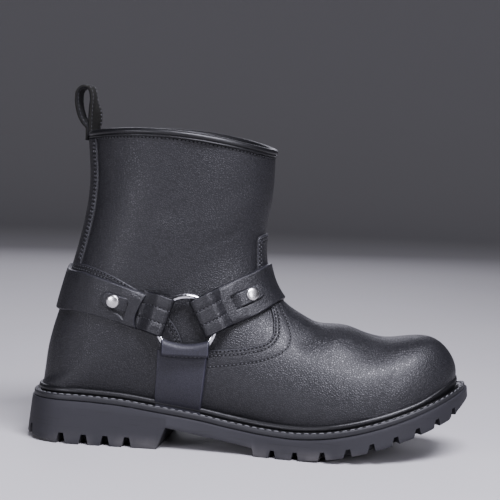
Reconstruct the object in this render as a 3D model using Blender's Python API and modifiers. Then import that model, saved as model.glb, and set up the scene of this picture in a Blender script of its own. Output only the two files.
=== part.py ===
"""Harness ankle boot for the right foot, standing flat on heel and forefoot.

Sizes are millimetres from the back of the heel: x runs to the toe, y to the inner side of the foot and
z up from the floor. The frame's origin is in the middle of the flat heel face. The lasted form of the
upper is one function of its sections, and every panel and strap on it is cut from that same function.
"""
import math

import bmesh
import bpy
import numpy as np
from mathutils import Vector
from mathutils.bvhtree import BVHTree

# Frame
MM = 0.001
ORIGIN_X = 70.0
GAP = 0.3

# Sole
SOLE_LENGTH = 305.0
HEEL_ROUND = 40.0
TOE_ROUND = 82.0
END_POWER = 2.3
TOE_SPRING = 34.0
SPRING_START = 186.0
SPRING_POWER = 1.84
HEEL_BEVEL = 4.0
HEEL_BEVEL_RUN = 46.0
HEEL_BREAST_FOOT = 97.5
HEEL_BREAST_TOP = 103.5
WAIST_HEEL_Z = 15.0
LUG_HEIGHT = 5.5
FOREFOOT_START = 163.0
LUG_STEP = 1.6
LEDGE_THICK = 3.7
BEAD_HEIGHT = 4.5
WELT_HEIGHT = GAP + LEDGE_THICK + BEAD_HEIGHT
FEATHER_ROOM = 0.7
INSOLE_THICK = 3.0
INSOLE_ROOM = 2.2
OUTLINE_STEPS = 36

# Leather
WALL = 2.1
PANEL = 1.2
PANEL_TOP = GAP + PANEL
STRAP = 2.0
STRAP_FOOT = PANEL_TOP + 2.5 * GAP
STRAP_TOP = STRAP_FOOT + STRAP
TAB = 1.3
TAB_FOOT = STRAP_TOP + 2.0 * GAP
TAB_TOP = TAB_FOOT + TAB
SIDE_POINTS = 9
FOOT_SECTIONS = 21
LEG_SECTIONS = 15

# Harness
RING_OUTER = 43.0
RING_WIRE = 4.4
RING_X = 115.5
RING_Z = 86.5
RING_LIFT = 6.6
FOLD_RADIUS = 4.1
STUD_RADIUS = 4.3
STUD_HEIGHT = 2.6
STUD_ROOM = {"rear": 0.4, "front": 1.0}
TAB_WIDTH = 9.7

# Collar
STRIP_REACH = 7.0
BINDING_DROP = 5.0
BINDING_WALL = 1.3
LOOP_WIDTH = 19.0
LOOP_THICK = 2.0

# Outline of the outsole from above, before its ends are rounded
OUTLINE_COLUMNS = ("x", "centre", "half_width")
OUTLINE = (
    (0.0, 0.0, 40.0),
    (40.0, -0.8, 39.8),
    (75.0, -1.3, 39.6),
    (110.0, -3.2, 38.3),
    (150.0, -3.4, 40.5),
    (190.0, -2.0, 50.0),
    (222.0, -0.8, 55.4),
    (250.0, 1.0, 54.8),
    (280.0, 4.6, 53.5),
    (305.0, 8.6, 52.0),
)

# Distances in from that outline, going up the side of the sole
SIDE_COLUMNS = ("x", "top", "ledge", "bead", "feather")
SIDE = (
    (0.0, 2.8, 3.9, 7.2, 10.8),
    (120.0, 2.0, 3.4, 7.2, 10.8),
    (250.0, 0.9, 2.4, 7.4, 10.8),
    (305.0, 0.6, 2.2, 7.6, 10.7),
)

# Height of the bead's top over the tread line
SEAT_COLUMNS = ("x", "z")
SEAT = (
    (0.0, 37.4),
    (35.0, 37.6),
    (66.0, 36.4),
    (96.0, 33.0),
    (127.0, 29.0),
    (147.0, 25.6),
    (170.0, 22.9),
    (195.0, 22.0),
    (240.0, 22.0),
    (305.0, 21.2),
)

# Sections of the foot: each runs from the featherline at base_x to the ridge, widest part way up
FOOT_COLUMNS = ("base_x", "top_x", "top_z", "half_width", "wide_at", "power", "ridge_y")
FOOT = (
    (284.0, 294.3, 50.4, 40.0, -6.0, 2.3, 8.3),
    (281.0, 295.4, 56.0, 41.0, -2.8, 2.3, 8.1),
    (276.5, 294.0, 62.5, 42.0, -1.5, 2.3, 7.8),
    (270.0, 290.4, 69.2, 43.0, -0.8, 2.3, 7.3),
    (262.0, 284.6, 75.2, 44.0, -0.35, 2.3, 6.8),
    (252.0, 275.5, 79.0, 45.0, 0.02, 2.3, 6.2),
    (239.0, 261.0, 78.5, 46.0, 0.12, 2.3, 5.4),
    (225.0, 245.0, 77.6, 46.6, 0.19, 2.25, 4.6),
    (209.0, 229.0, 79.6, 45.6, 0.24, 2.2, 4.0),
    (191.0, 213.0, 83.4, 43.4, 0.28, 2.2, 3.4),
    (172.0, 199.0, 86.6, 40.6, 0.31, 2.2, 2.8),
    (151.0, 187.5, 90.8, 38.0, 0.35, 2.2, 2.2),
    (129.0, 178.6, 96.0, 36.8, 0.39, 2.2, 1.6),
    (106.0, 171.6, 103.0, 36.6, 0.43, 2.2, 1.0),
    (83.0, 166.4, 112.0, 36.9, 0.45, 2.2, 0.6),
    (61.0, 163.4, 122.0, 37.4, 0.46, 2.2, 0.3),
    (42.0, 162.0, 132.0, 37.9, 0.47, 2.2, 0.0),
    (27.0, 161.9, 141.0, 38.3, 0.48, 2.2, 0.0),
    (17.0, 162.5, 148.5, 38.7, 0.485, 2.2, 0.0),
    (11.0, 163.4, 154.0, 39.0, 0.49, 2.2, 0.0),
)

# Sections of the leg: each runs from the back seam to the front, with its middle lifted at the collar
LEG_COLUMNS = ("base_x", "base_z", "top_x", "top_z", "half_width", "wide_at", "power", "lift")
LEG = (
    (11.0, 37.6, 163.4, 154.0, 39.0, 0.49, 2.2, 0.0),
    (12.0, 46.0, 164.4, 159.0, 39.3, 0.49, 2.2, 0.0),
    (13.5, 59.0, 165.3, 164.5, 39.8, 0.49, 2.2, 0.0),
    (16.6, 73.0, 166.0, 170.0, 40.3, 0.49, 2.2, 0.0),
    (21.0, 88.0, 166.5, 175.0, 40.9, 0.49, 2.2, 0.0),
    (25.4, 104.0, 166.8, 180.0, 41.5, 0.49, 2.2, 0.0),
    (29.7, 120.0, 167.0, 184.5, 42.1, 0.49, 2.15, 0.4),
    (33.9, 136.0, 167.1, 188.5, 42.8, 0.49, 2.15, 1.0),
    (37.5, 152.0, 167.2, 192.0, 43.5, 0.49, 2.15, 2.0),
    (39.8, 167.0, 167.2, 195.0, 44.2, 0.5, 2.1, 3.2),
    (40.6, 181.0, 167.1, 197.2, 44.9, 0.5, 2.1, 4.6),
    (39.8, 196.0, 167.0, 199.2, 45.8, 0.5, 2.1, 6.0),
    (38.6, 211.3, 166.9, 200.8, 46.8, 0.5, 2.1, 7.2),
)

# Edges of panels and straps in the side view
VAMP_EDGE = (
    (158.8, 150.5), (157.4, 140.0), (158.0, 126.0), (161.5, 112.0), (168.5, 101.0), (171.0, 94.0),
    (170.6, 88.5), (166.0, 80.5), (157.0, 74.6), (144.0, 71.2), (130.0, 69.4), (123.0, 60.0), (120.0, 45.0),
)
COUNTER_EDGE = (
    (24.0, 125.6), (32.0, 124.0), (54.0, 117.6), (76.0, 110.4), (92.0, 101.0), (104.0, 89.4),
    (111.0, 78.6), (116.0, 65.0), (117.8, 45.0),
)
REAR_TOP = ((14.0, 120.4), (24.0, 118.6), (58.6, 113.8), (88.6, 105.2), (104.0, 100.4))
REAR_FOOT = ((97.6, 76.4), (83.0, 82.2), (56.6, 88.2), (18.6, 91.4), (8.0, 92.0))
FRONT_TOP = ((122.0, 105.4), (134.5, 111.2), (158.0, 122.2), (166.5, 124.8), (178.0, 127.4))
FRONT_FOOT = ((192.0, 103.2), (177.8, 99.5), (171.9, 96.9), (146.6, 85.0), (131.6, 78.2))
ARCH_SIDES = ((98.4, 73.2), (131.2, 73.2), (128.6, 0.0), (99.4, 0.0))
LOOP_PATH = (
    (34.9, 206.5), (34.5, 213.5), (32.4, 219.5), (29.8, 227.0), (28.4, 234.0), (29.2, 240.0),
    (32.4, 243.6), (36.4, 241.4), (40.6, 234.0), (43.6, 226.0), (46.4, 217.0), (47.2, 206.5),
)

# Lug notches along the edge
HEEL_NOTCHES = (6.0, 31.0, 47.0, 62.0, 77.0)
HEEL_NOTCH = (5.0, 3.5)
FORE_NOTCHES = (177.0, 192.5, 211.0, 228.0, 243.5, 259.0, 273.0, 285.5, 296.0)
FORE_NOTCH = (4.2, 2.8)
NOTCH_IN = 11.0
NOTCH_OUT = 4.0
WEDGE_FACES = ((0, 1, 3, 2), (4, 6, 7, 5), (0, 4, 5, 1), (2, 3, 7, 6), (0, 2, 6, 4), (1, 5, 7, 3))

# Harness strap ends at the ring: direction in the side view, fold, strap end, slot and tongue end
STRAP_END_COLUMNS = ("angle", "fold", "under", "strap_end", "slot", "stud", "tongue_end", "half_width")
STRAP_ENDS = {
    "rear": (162.0, 12.7, 26.4, 30.4, 40.7, 53.4, 61.7, 12.9),
    "front": (25.5, 10.6, 24.8, 28.8, 34.5, 42.0, 50.0, 12.9),
    "arch": (270.0, 13.4, 17.6, 22.6, 0.0, 0.0, 0.0, 16.4),
}

BLACK_LEATHER = ((0.012, 0.012, 0.014), 0.45, 0.0)
GLOSS_LEATHER = ((0.010, 0.010, 0.012), 0.22, 0.0)
RUBBER = ((0.022, 0.023, 0.026), 0.75, 0.0)
BOARD = ((0.20, 0.16, 0.12), 0.85, 0.0)
CHROME = ((0.80, 0.80, 0.82), 0.12, 1.0)


def table(columns, rows):
    """Columns of a table by name."""
    return dict(zip(columns, np.array(rows, float).T))


def smooth(at, xs, ys):
    """Curve through the points that keeps their rises and falls."""
    at = np.clip(np.asarray(at, float), xs[0], xs[-1])
    step = np.diff(xs)
    rise = np.diff(ys) / step
    slope = np.zeros(len(xs))
    both = rise[1:] * rise[:-1] > 0.0
    one, two = 2.0 * step[1:] + step[:-1], step[1:] + 2.0 * step[:-1]
    with np.errstate(divide="ignore", invalid="ignore"):
        inner = (one + two) / (one / rise[:-1] + two / rise[1:])
    slope[1:-1] = np.where(both, inner, 0.0)
    slope[0], slope[-1] = rise[0], rise[-1]
    k = np.clip(np.searchsorted(xs, at, side="right") - 1, 0, len(xs) - 2)
    h, u = step[k], (at - xs[k]) / step[k]
    start = ys[k] * (1 + 2 * u) * (1 - u) ** 2 + h * slope[k] * u * (1 - u) ** 2
    end = ys[k + 1] * u ** 2 * (3 - 2 * u) + h * slope[k + 1] * u ** 2 * (u - 1)
    return start + end


OUT = table(OUTLINE_COLUMNS, OUTLINE)
EDGE = table(SIDE_COLUMNS, SIDE)
SEAT_LINE = table(SEAT_COLUMNS, SEAT)


def spring(x):
    """Rise of the tread line towards the toe."""
    run = np.clip((np.asarray(x, float) - SPRING_START) / (SOLE_LENGTH - SPRING_START), 0.0, 1.1)
    return TOE_SPRING * run ** SPRING_POWER


def bead_z(x):
    """Height of the bead's top, where the upper starts to show."""
    return smooth(x, SEAT_LINE["x"], SEAT_LINE["z"]) + spring(x)


def deck_z(x):
    """Height of the outsole's top face, under the welt."""
    return bead_z(x) - WELT_HEIGHT


def tread_z(x):
    """Height of the outsole's underside: heel, breast, waist and forefoot."""
    x = np.asarray(x, float)
    heel = HEEL_BEVEL * np.clip(1.0 - x / HEEL_BEVEL_RUN, 0.0, 1.0) ** 2
    knots = np.array((HEEL_BREAST_FOOT, HEEL_BREAST_TOP, FOREFOOT_START, FOREFOOT_START + LUG_STEP))
    waist = np.interp(x, knots, (0.0, WAIST_HEEL_Z, LUG_HEIGHT, 0.0))
    return heel + waist + spring(x)


def outline(steps):
    """Outsole from above: heel back, outer side, toe, inner side, dense at both ends."""
    turn = (np.arange(2 * steps) + 0.5) * math.pi / steps
    x = 0.5 * SOLE_LENGTH * (1.0 - np.cos(turn))
    heel = np.clip(1.0 - x / HEEL_ROUND, 0.0, 1.0) ** END_POWER
    toe = np.clip(1.0 - (SOLE_LENGTH - x) / TOE_ROUND, 0.0, 1.0) ** END_POWER
    ends = np.maximum(1.0 - heel - toe, 0.0) ** (1.0 / END_POWER)
    half = smooth(x, OUT["x"], OUT["half_width"]) * ends
    side = np.where(turn < math.pi, -1.0, 1.0)
    return np.c_[x, smooth(x, OUT["x"], OUT["centre"]) + side * half]


def inset(loop, distance):
    """Loop moved inwards along its own normals."""
    along = np.roll(loop, -1, 0) - np.roll(loop, 1, 0)
    along /= np.linalg.norm(along, axis=1)[:, None]
    return loop + np.c_[-along[:, 1], along[:, 0]] * np.asarray(distance)[..., None]


def edge_loop(steps, column, extra=0.0):
    """Outline moved in to a named line of the sole's side."""
    loop = outline(steps)
    return inset(loop, smooth(loop[:, 0], EDGE["x"], EDGE[column]) + extra)


def feather(x):
    """Outer and inner side of the featherline at x."""
    loop = edge_loop(4 * OUTLINE_STEPS, "feather")
    toe, heel = np.argmax(loop[:, 0]), np.argmin(loop[:, 0])
    ring = np.roll(loop, -heel, 0)
    toe = (toe - heel) % len(loop)
    outer, inner = ring[: toe + 1], np.vstack((ring[toe:], ring[:1]))[::-1]
    return np.interp(x, outer[:, 0], outer[:, 1]), np.interp(x, inner[:, 0], inner[:, 1])


def section(length, base_half, half, wide_at, power):
    """Half a section from base to ridge: places along it and half widths, evenly spaced round it."""
    along = 1.0 - np.linspace(1.0, 0.0, 400) ** 2
    if wide_at <= 0.0:
        over = np.clip((along - wide_at) / (1.0 - wide_at), 0.0, 1.0)
        width = (1.0 - over ** power) ** (1.0 / power)
        width *= base_half / max(width[0], 1e-6)
    else:
        half = max(half, base_half * 1.002)
        reach = (1.0 - (base_half / half) ** power) ** (1.0 / power)
        under = np.clip((wide_at - along) / wide_at, 0.0, 1.0) * reach
        over = np.clip((along - wide_at) / (1.0 - wide_at), 0.0, 1.0)
        width = half * (1.0 - np.maximum(under, over) ** power) ** (1.0 / power)
    run = np.r_[0.0, np.cumsum(np.hypot(np.diff(along) * length, np.diff(width)))]
    even = np.linspace(0.0, run[-1], SIDE_POINTS + 1)
    return np.interp(even, run, along), np.interp(even, run, width)


def rows_between(columns, rows, count):
    """Sections spread evenly over a table's rows."""
    source = table(columns, rows)
    index = np.arange(len(rows), dtype=float)
    at = np.linspace(0.0, index[-1], count)
    return {name: smooth(at, index, column) for name, column in source.items()}


def upper_grid():
    """Outer face of the upper: one row of points for each section, outer side to inner side."""
    foot = rows_between(FOOT_COLUMNS, FOOT, FOOT_SECTIONS)
    leg = rows_between(LEG_COLUMNS, LEG, LEG_SECTIONS)
    outer, inner = feather(foot["base_x"])
    base_half, base_y = 0.5 * (inner - outer), 0.5 * (inner + outer)
    base_half[-1] = 0.0
    grid = []
    for i in range(FOOT_SECTIONS):
        base = np.array((foot["base_x"][i], bead_z(foot["base_x"][i])))
        top = np.array((foot["top_x"][i], foot["top_z"][i]))
        shape = foot["half_width"][i], foot["wide_at"][i], foot["power"][i]
        along, width = section(np.linalg.norm(top - base), base_half[i], *shape)
        centre = base_y[i] + (foot["ridge_y"][i] - base_y[i]) * along
        grid.append(section_points(base, top, along, width, centre, 0.0))
    for i in range(1, LEG_SECTIONS):
        base = np.array((leg["base_x"][i], leg["base_z"][i]))
        top = np.array((leg["top_x"][i], leg["top_z"][i]))
        shape = leg["half_width"][i], leg["wide_at"][i], leg["power"][i]
        along, width = section(np.linalg.norm(top - base), 0.0, *shape)
        grid.append(section_points(base, top, along, width, np.zeros_like(along), leg["lift"][i]))
    return np.array(grid)


def section_points(base, top, along, width, centre, lift):
    """Both sides of a section in space, from the outer base over the ridge to the inner base."""
    place = base + (top - base) * along[:, None]
    high = place[:, 1] + 4.0 * lift * along * (1.0 - along)
    outer = np.c_[place[:, 0], centre - width, high]
    inner = np.c_[place[:, 0], centre + width, high]
    return np.vstack((outer, inner[-2::-1]))


def in_frame(points):
    """Millimetres from the heel's back to metres in the frame."""
    return (np.asarray(points, float) - (ORIGIN_X, 0.0, 0.0)) * MM


def material(name, looks):
    """Principled material from colour, roughness and metallic value."""
    made = bpy.data.materials.new(name)
    made.use_nodes = True
    shader = made.node_tree.nodes["Principled BSDF"]
    shader.inputs["Base Color"].default_value = (*looks[0], 1.0)
    shader.inputs["Roughness"].default_value = looks[1]
    shader.inputs["Metallic"].default_value = looks[2]
    return made


class Boot:
    """Collections and shared surfaces of the boot."""

    def __init__(self):
        self.parts = bpy.data.collections.new("harness_boot")
        self.cutters = bpy.data.collections.new("boot_cutters")
        self.cutters.hide_render = True
        for group in (self.parts, self.cutters):
            bpy.context.scene.collection.children.link(group)
        self.grid = upper_grid()
        self.leather = self.sheet(0.0)
        self.tree = BVHTree.FromBMesh(self.leather)

    def place(self, name, shape, looks):
        """New part from a mesh under construction."""
        mesh = bpy.data.meshes.new(name)
        bmesh.ops.recalc_face_normals(shape, faces=shape.faces)
        shape.to_mesh(mesh)
        shape.free()
        mesh.shade_smooth()
        mesh.set_sharp_from_angle(angle=math.radians(40.0))
        made = bpy.data.objects.new(name, mesh)
        made.data.materials.append(material(name, looks))
        self.parts.objects.link(made)
        return made

    def cutter(self, name, shape):
        """Helper solid that is kept out of the model."""
        mesh = bpy.data.meshes.new(name)
        bmesh.ops.recalc_face_normals(shape, faces=shape.faces)
        shape.to_mesh(mesh)
        shape.free()
        made = bpy.data.objects.new(name, mesh)
        made.hide_render = True
        made.display_type = "WIRE"
        self.cutters.objects.link(made)
        return made

    def boolean(self, target, other, operation, solver="EXACT"):
        """Cut, join or intersect with a helper."""
        made = target.modifiers.new(other.name, "BOOLEAN")
        made.operation = operation
        made.solver = solver
        made.object = other

    def sheet(self, offset):
        """Outer face of the upper as an open mesh, moved out by an offset."""
        shape = bmesh.new()
        rows, columns, _ = self.grid.shape
        points = [shape.verts.new(p) for p in in_frame(self.grid.reshape(-1, 3))]
        for i in range(rows - 1):
            for j in range(columns - 1):
                a, b = i * columns + j, (i + 1) * columns + j
                shape.faces.new((points[a], points[a + 1], points[b + 1], points[b]))
        bmesh.ops.remove_doubles(shape, verts=shape.verts, dist=0.00002)
        bmesh.ops.dissolve_degenerate(shape, edges=shape.edges, dist=0.00001)
        bmesh.ops.triangulate(shape, faces=shape.faces, quad_method="SHORT_EDGE")
        bmesh.ops.recalc_face_normals(shape, faces=shape.faces)
        shape.normal_update()
        middle = Vector(in_frame((100.0, 0.0, 120.0)))
        top = max(shape.faces, key=lambda face: face.calc_center_median().x)
        if top.normal.dot(top.calc_center_median() - middle) < 0.0:
            bmesh.ops.reverse_faces(shape, faces=shape.faces)
            shape.normal_update()
        if offset:
            moves = [v.normal.copy() for v in shape.verts]
            for v, normal in zip(shape.verts, moves):
                v.co += normal * offset * MM
        return shape

    def shell(self, name, foot, thick, looks):
        """Layer of leather over the upper, from a foot height over its face."""
        made = self.place(name, self.sheet(foot), looks)
        solid = made.modifiers.new("Leather", "SOLIDIFY")
        solid.thickness = thick * MM
        solid.offset = 1.0
        solid.use_even_offset = True
        return made

    def prism(self, name, corners, y_from=-90.0, y_to=90.0):
        """Side view outline run across the boot."""
        shape = bmesh.new()
        corners = np.asarray(corners, float)
        ends = []
        for y in (y_from, y_to):
            points = np.c_[corners[:, 0], np.full(len(corners), y), corners[:, 1]]
            ends.append([shape.verts.new(p) for p in in_frame(points)])
        shape.faces.new(ends[0])
        shape.faces.new(ends[1][::-1])
        for i in range(len(corners)):
            k = (i + 1) % len(corners)
            shape.faces.new((ends[0][i], ends[0][k], ends[1][k], ends[1][i]))
        bmesh.ops.triangulate(shape, faces=[f for f in shape.faces if len(f.verts) > 4])
        return self.cutter(name, shape)

    def face_at(self, x, z, side):
        """Point and outward normal of the upper at a place in the side view."""
        start = Vector(in_frame((x, side * 150.0, z)))
        point, normal, _, _ = self.tree.ray_cast(start, Vector((0.0, -side, 0.0)))
        if normal.y * side < 0.0:
            normal = -normal
        return point, normal


def loft(rings, closed_around=True, caps=True):
    """Mesh through rings of equal count."""
    shape = bmesh.new()
    made = [[shape.verts.new(p) for p in in_frame(ring)] for ring in rings]
    count = len(made[0])
    for a, b in zip(made[:-1], made[1:]):
        for j in range(count if closed_around else count - 1):
            k = (j + 1) % count
            shape.faces.new((a[j], a[k], b[k], b[j]))
    if caps:
        shape.faces.new(made[0])
        shape.faces.new(made[-1][::-1])
    return shape


def across(loop, low, high, low_loop=None):
    """Slab between two heights, as a loft of slices from heel to toe."""
    low_loop = loop if low_loop is None else low_loop
    half = len(loop) // 2
    rings = []
    for i in range(half):
        k = len(loop) - 1 - i
        rings.append((
            (*low_loop[i], low[i]), (*loop[i], high[i]),
            (*loop[k], high[k]), (*low_loop[k], low[k]),
        ))
    return loft(rings)


def sole_stations():
    """Outline points, with doubled slices at the heel breast and at the start of the forefoot lugs."""
    loop = outline(OUTLINE_STEPS)
    half = len(loop) // 2
    steps = (HEEL_BREAST_FOOT, HEEL_BREAST_TOP, FOREFOOT_START, FOREFOOT_START + LUG_STEP)
    outer, inner = loop[:half], loop[half:][::-1]
    x = outer[:, 0]
    near = np.min(np.abs(x[:, None] - np.array(steps)[None]), axis=1) < 1.5
    x = np.sort(np.r_[x[~near], steps])
    outer = np.c_[x, np.interp(x, outer[:, 0], outer[:, 1])]
    inner = np.c_[x, np.interp(x, inner[:, 0], inner[:, 1])]
    return np.vstack((outer, inner[::-1]))


def notch_wedges(boot):
    """Wedge cutters for the lug notches along both edges."""
    shape = bmesh.new()
    loop = outline(4 * OUTLINE_STEPS)
    along = np.roll(loop, -1, 0) - np.roll(loop, 1, 0)
    along /= np.linalg.norm(along, axis=1)[:, None]
    half = len(loop) // 2
    groups = ((HEEL_NOTCHES, HEEL_NOTCH), (FORE_NOTCHES, FORE_NOTCH))
    for places, widths in groups:
        for x in places:
            for part in (slice(0, half), slice(half, None)):
                k = np.argmin(np.abs(loop[part, 0] - x)) + (part.start or 0)
                run = along[k]
                inward = np.array((-run[1], run[0]))
                floor = float(tread_z(loop[k, 0]))
                corners = []
                for depth in (-NOTCH_OUT, NOTCH_IN):
                    for width, z in ((widths[0], -3.0), (widths[1], LUG_HEIGHT)):
                        for side in (-0.5, 0.5):
                            flat = loop[k] + inward * depth + run * width * side
                            rise = float(tread_z(flat[0])) - floor if x > HEEL_BREAST_TOP else 0.0
                            corners.append((*flat, floor + rise + z))
                made = [shape.verts.new(p) for p in in_frame(corners)]
                for face in WEDGE_FACES:
                    shape.faces.new([made[n] for n in face])
    return boot.cutter("lug_notches", shape)


def build_sole(boot):
    """Outsole with heel, arch, toe spring and lug notches; welt ring; insole board."""
    base = sole_stations()
    low = tread_z(base[:, 0])
    flare = smooth(base[:, 0], EDGE["x"], EDGE["top"])
    deck = deck_z(base[:, 0])
    lift = np.clip(low - spring(base[:, 0]), 0.0, None) / np.maximum(deck - spring(base[:, 0]), 1.0)
    outsole = boot.place("outsole", across(inset(base, flare), low, deck, inset(base, flare * lift)), RUBBER)
    boot.boolean(outsole, notch_wedges(boot), "DIFFERENCE")

    rise = (
        ("ledge", 0.0, GAP), ("ledge", 0.0, GAP + 0.8 * LEDGE_THICK), ("ledge", 0.6, GAP + LEDGE_THICK),
        ("bead", 0.0, GAP + LEDGE_THICK), ("bead", -0.3, GAP + LEDGE_THICK + 0.45 * BEAD_HEIGHT),
        ("bead", 0.6, GAP + LEDGE_THICK + 0.85 * BEAD_HEIGHT), ("feather", -FEATHER_ROOM - 1.0, WELT_HEIGHT),
        ("feather", -FEATHER_ROOM, WELT_HEIGHT - 0.6), ("feather", -FEATHER_ROOM, GAP),
    )
    lines = []
    for column, extra, height in rise:
        loop = edge_loop(OUTLINE_STEPS, column, extra)
        lines.append(np.c_[loop, deck_z(loop[:, 0]) + height])
    rings = [np.array([line[i] for line in lines]) for i in range(2 * OUTLINE_STEPS)]
    boot.place("welt", loft(rings + rings[:1], caps=False), GLOSS_LEATHER)
    weld(boot.parts.objects["welt"])

    board = edge_loop(OUTLINE_STEPS, "feather", WALL + INSOLE_ROOM)
    foot = deck_z(board[:, 0]) + GAP
    boot.place("insole", across(board, foot, foot + INSOLE_THICK), BOARD)


def weld(made):
    """Close the seam of a ring."""
    shape = bmesh.new()
    shape.from_mesh(made.data)
    bmesh.ops.remove_doubles(shape, verts=shape.verts, dist=0.00001)
    bmesh.ops.recalc_face_normals(shape, faces=shape.faces)
    shape.to_mesh(made.data)
    shape.free()


def build_upper(boot):
    """Hollow lasted shell with a straight lasting edge down to the outsole's top."""
    shape = boot.sheet(0.0)
    collar = in_frame(boot.grid[-1])[:, 2].min() - MM
    lasting = [e for e in shape.edges if e.is_boundary and max(v.co.z for v in e.verts) < collar]
    grown = bmesh.ops.extrude_edge_only(shape, edges=lasting)
    for item in grown["geom"]:
        if isinstance(item, bmesh.types.BMVert):
            item.co.z -= (WELT_HEIGHT - GAP) * MM
    made = boot.place("upper", shape, BLACK_LEATHER)
    solid = made.modifiers.new("Wall", "SOLIDIFY")
    solid.thickness = WALL * MM
    solid.offset = -1.0
    solid.use_even_offset = True


def bead_line(x_from, x_to, count):
    """Points just over the bead in the side view."""
    x = np.linspace(x_from, x_to, count)
    return list(zip(x, bead_z(np.clip(x, 0.0, SOLE_LENGTH)) + 2.0 * GAP))


def build_panels(boot):
    """Vamp, heel counter and back strip, each a layer over the upper."""
    vamp = boot.shell("vamp", GAP, PANEL, BLACK_LEATHER)
    corners = list(VAMP_EDGE) + bead_line(119.0, 312.0, 26) + [(312.0, 150.5)]
    boot.boolean(vamp, boot.prism("vamp_outline", corners), "INTERSECT")

    counter = boot.shell("heel_counter", GAP, PANEL, BLACK_LEATHER)
    corners = [(-10.0, 131.0)] + list(COUNTER_EDGE) + bead_line(118.4, -10.0, 14)
    boot.boolean(counter, boot.prism("counter_outline", corners), "INTERSECT")

    strip = boot.shell("back_strip", GAP, PANEL, BLACK_LEATHER)
    leg = table(LEG_COLUMNS, LEG)
    z = np.linspace(129.0, 204.0, 9)
    back = smooth(z, leg["base_z"], leg["base_x"])
    corners = list(zip(back + STRIP_REACH, z)) + [(0.0, 205.0), (0.0, 132.0)]
    boot.boolean(strip, boot.prism("strip_outline", corners), "INTERSECT")


def build_binding(boot):
    """Binding rolled over the collar edge."""
    rim, below = boot.grid[-1], boot.grid[-2]
    rim, below = rim[:-1], below[:-1]
    along = np.roll(rim, -1, 0) - np.roll(rim, 1, 0)
    along /= np.linalg.norm(along, axis=1)[:, None]
    up = rim - below
    up -= along * np.sum(up * along, axis=1)[:, None]
    up /= np.linalg.norm(up, axis=1)[:, None]
    out = np.cross(up, along)
    if np.sum(out * (rim - rim.mean(0))) < 0.0:
        out = -out
    inner = -(WALL + 2.0 * GAP)
    wall = BINDING_WALL
    profile = (
        (GAP, -BINDING_DROP), (GAP + wall, -BINDING_DROP), (GAP + wall, 0.4), (GAP + 0.2, GAP + wall),
        (inner - 0.2, GAP + wall), (inner - wall, 0.4), (inner - wall, -BINDING_DROP),
        (inner, -BINDING_DROP), (inner, GAP), (GAP, GAP),
    )
    rings = [[p + o * a + u * b for a, b in profile] for p, o, u in zip(rim, out, up)]
    boot.place("collar_binding", loft(rings + rings[:1], caps=False), GLOSS_LEATHER)
    weld(boot.parts.objects["collar_binding"])


def build_loop(boot):
    """Pull loop standing on the back of the binding."""
    path = np.array(LOOP_PATH)
    run = np.r_[0.0, np.cumsum(np.linalg.norm(np.diff(path, axis=0), axis=1))]
    at = np.linspace(0.0, run[-1], 29)
    path = np.c_[smooth(at, run, path[:, 0]), smooth(at, run, path[:, 1])]
    along = np.gradient(path, axis=0)
    along /= np.linalg.norm(along, axis=1)[:, None]
    out = np.c_[-along[:, 1], along[:, 0]] * 0.5 * LOOP_THICK
    rings = []
    for p, o in zip(path, out):
        rings.append([
            (p[0] + s * o[0], y * LOOP_WIDTH, p[1] + s * o[1])
            for s, y in ((-1, -0.5), (1, -0.5), (1, 0.5), (-1, 0.5))
        ])
    boot.place("pull_loop", loft(rings), BLACK_LEATHER)


def ring_frame(boot, side):
    """Place of a ring: its middle and its axes along the boot, up and out of the leather."""
    reach = 0.5 * RING_OUTER
    spots = [
        boot.face_at(RING_X + dx, RING_Z + dz, side)
        for dx, dz in ((reach, 0.0), (-reach, 0.0), (0.0, reach), (0.0, -reach), (0.0, 0.0))
    ]
    out = sum((n for _, n in spots), Vector()).normalized()
    middle = spots[-1][0]
    high = max((p - middle).dot(out) for p, _ in spots)
    right = (Vector((1.0, 0.0, 0.0)) - out * out.x).normalized()
    up = out.cross(right) if side < 0 else right.cross(out)
    up = up if up.z > 0.0 else -up
    return middle + out * (max(high, 0.0) + RING_LIFT * MM), right, up, out


def ring_shape(middle, right, up, out, tube):
    """Ring round the middle with a wire of the given radius."""
    shape = bmesh.new()
    radius = 0.5 * (RING_OUTER - RING_WIRE) * MM
    around, section_count = 26, 8
    made = []
    for i in range(around):
        turn = 2.0 * math.pi * i / around
        ray = right * math.cos(turn) + up * math.sin(turn)
        row = []
        for j in range(section_count):
            bend = 2.0 * math.pi * j / section_count
            row.append(shape.verts.new(
                middle + ray * (radius + tube * MM * math.cos(bend)) + out * tube * MM * math.sin(bend)))
        made.append(row)
    for i in range(around):
        a, b = made[i], made[(i + 1) % around]
        for j in range(section_count):
            k = (j + 1) % section_count
            shape.faces.new((a[j], b[j], b[k], a[k]))
    return shape


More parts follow.
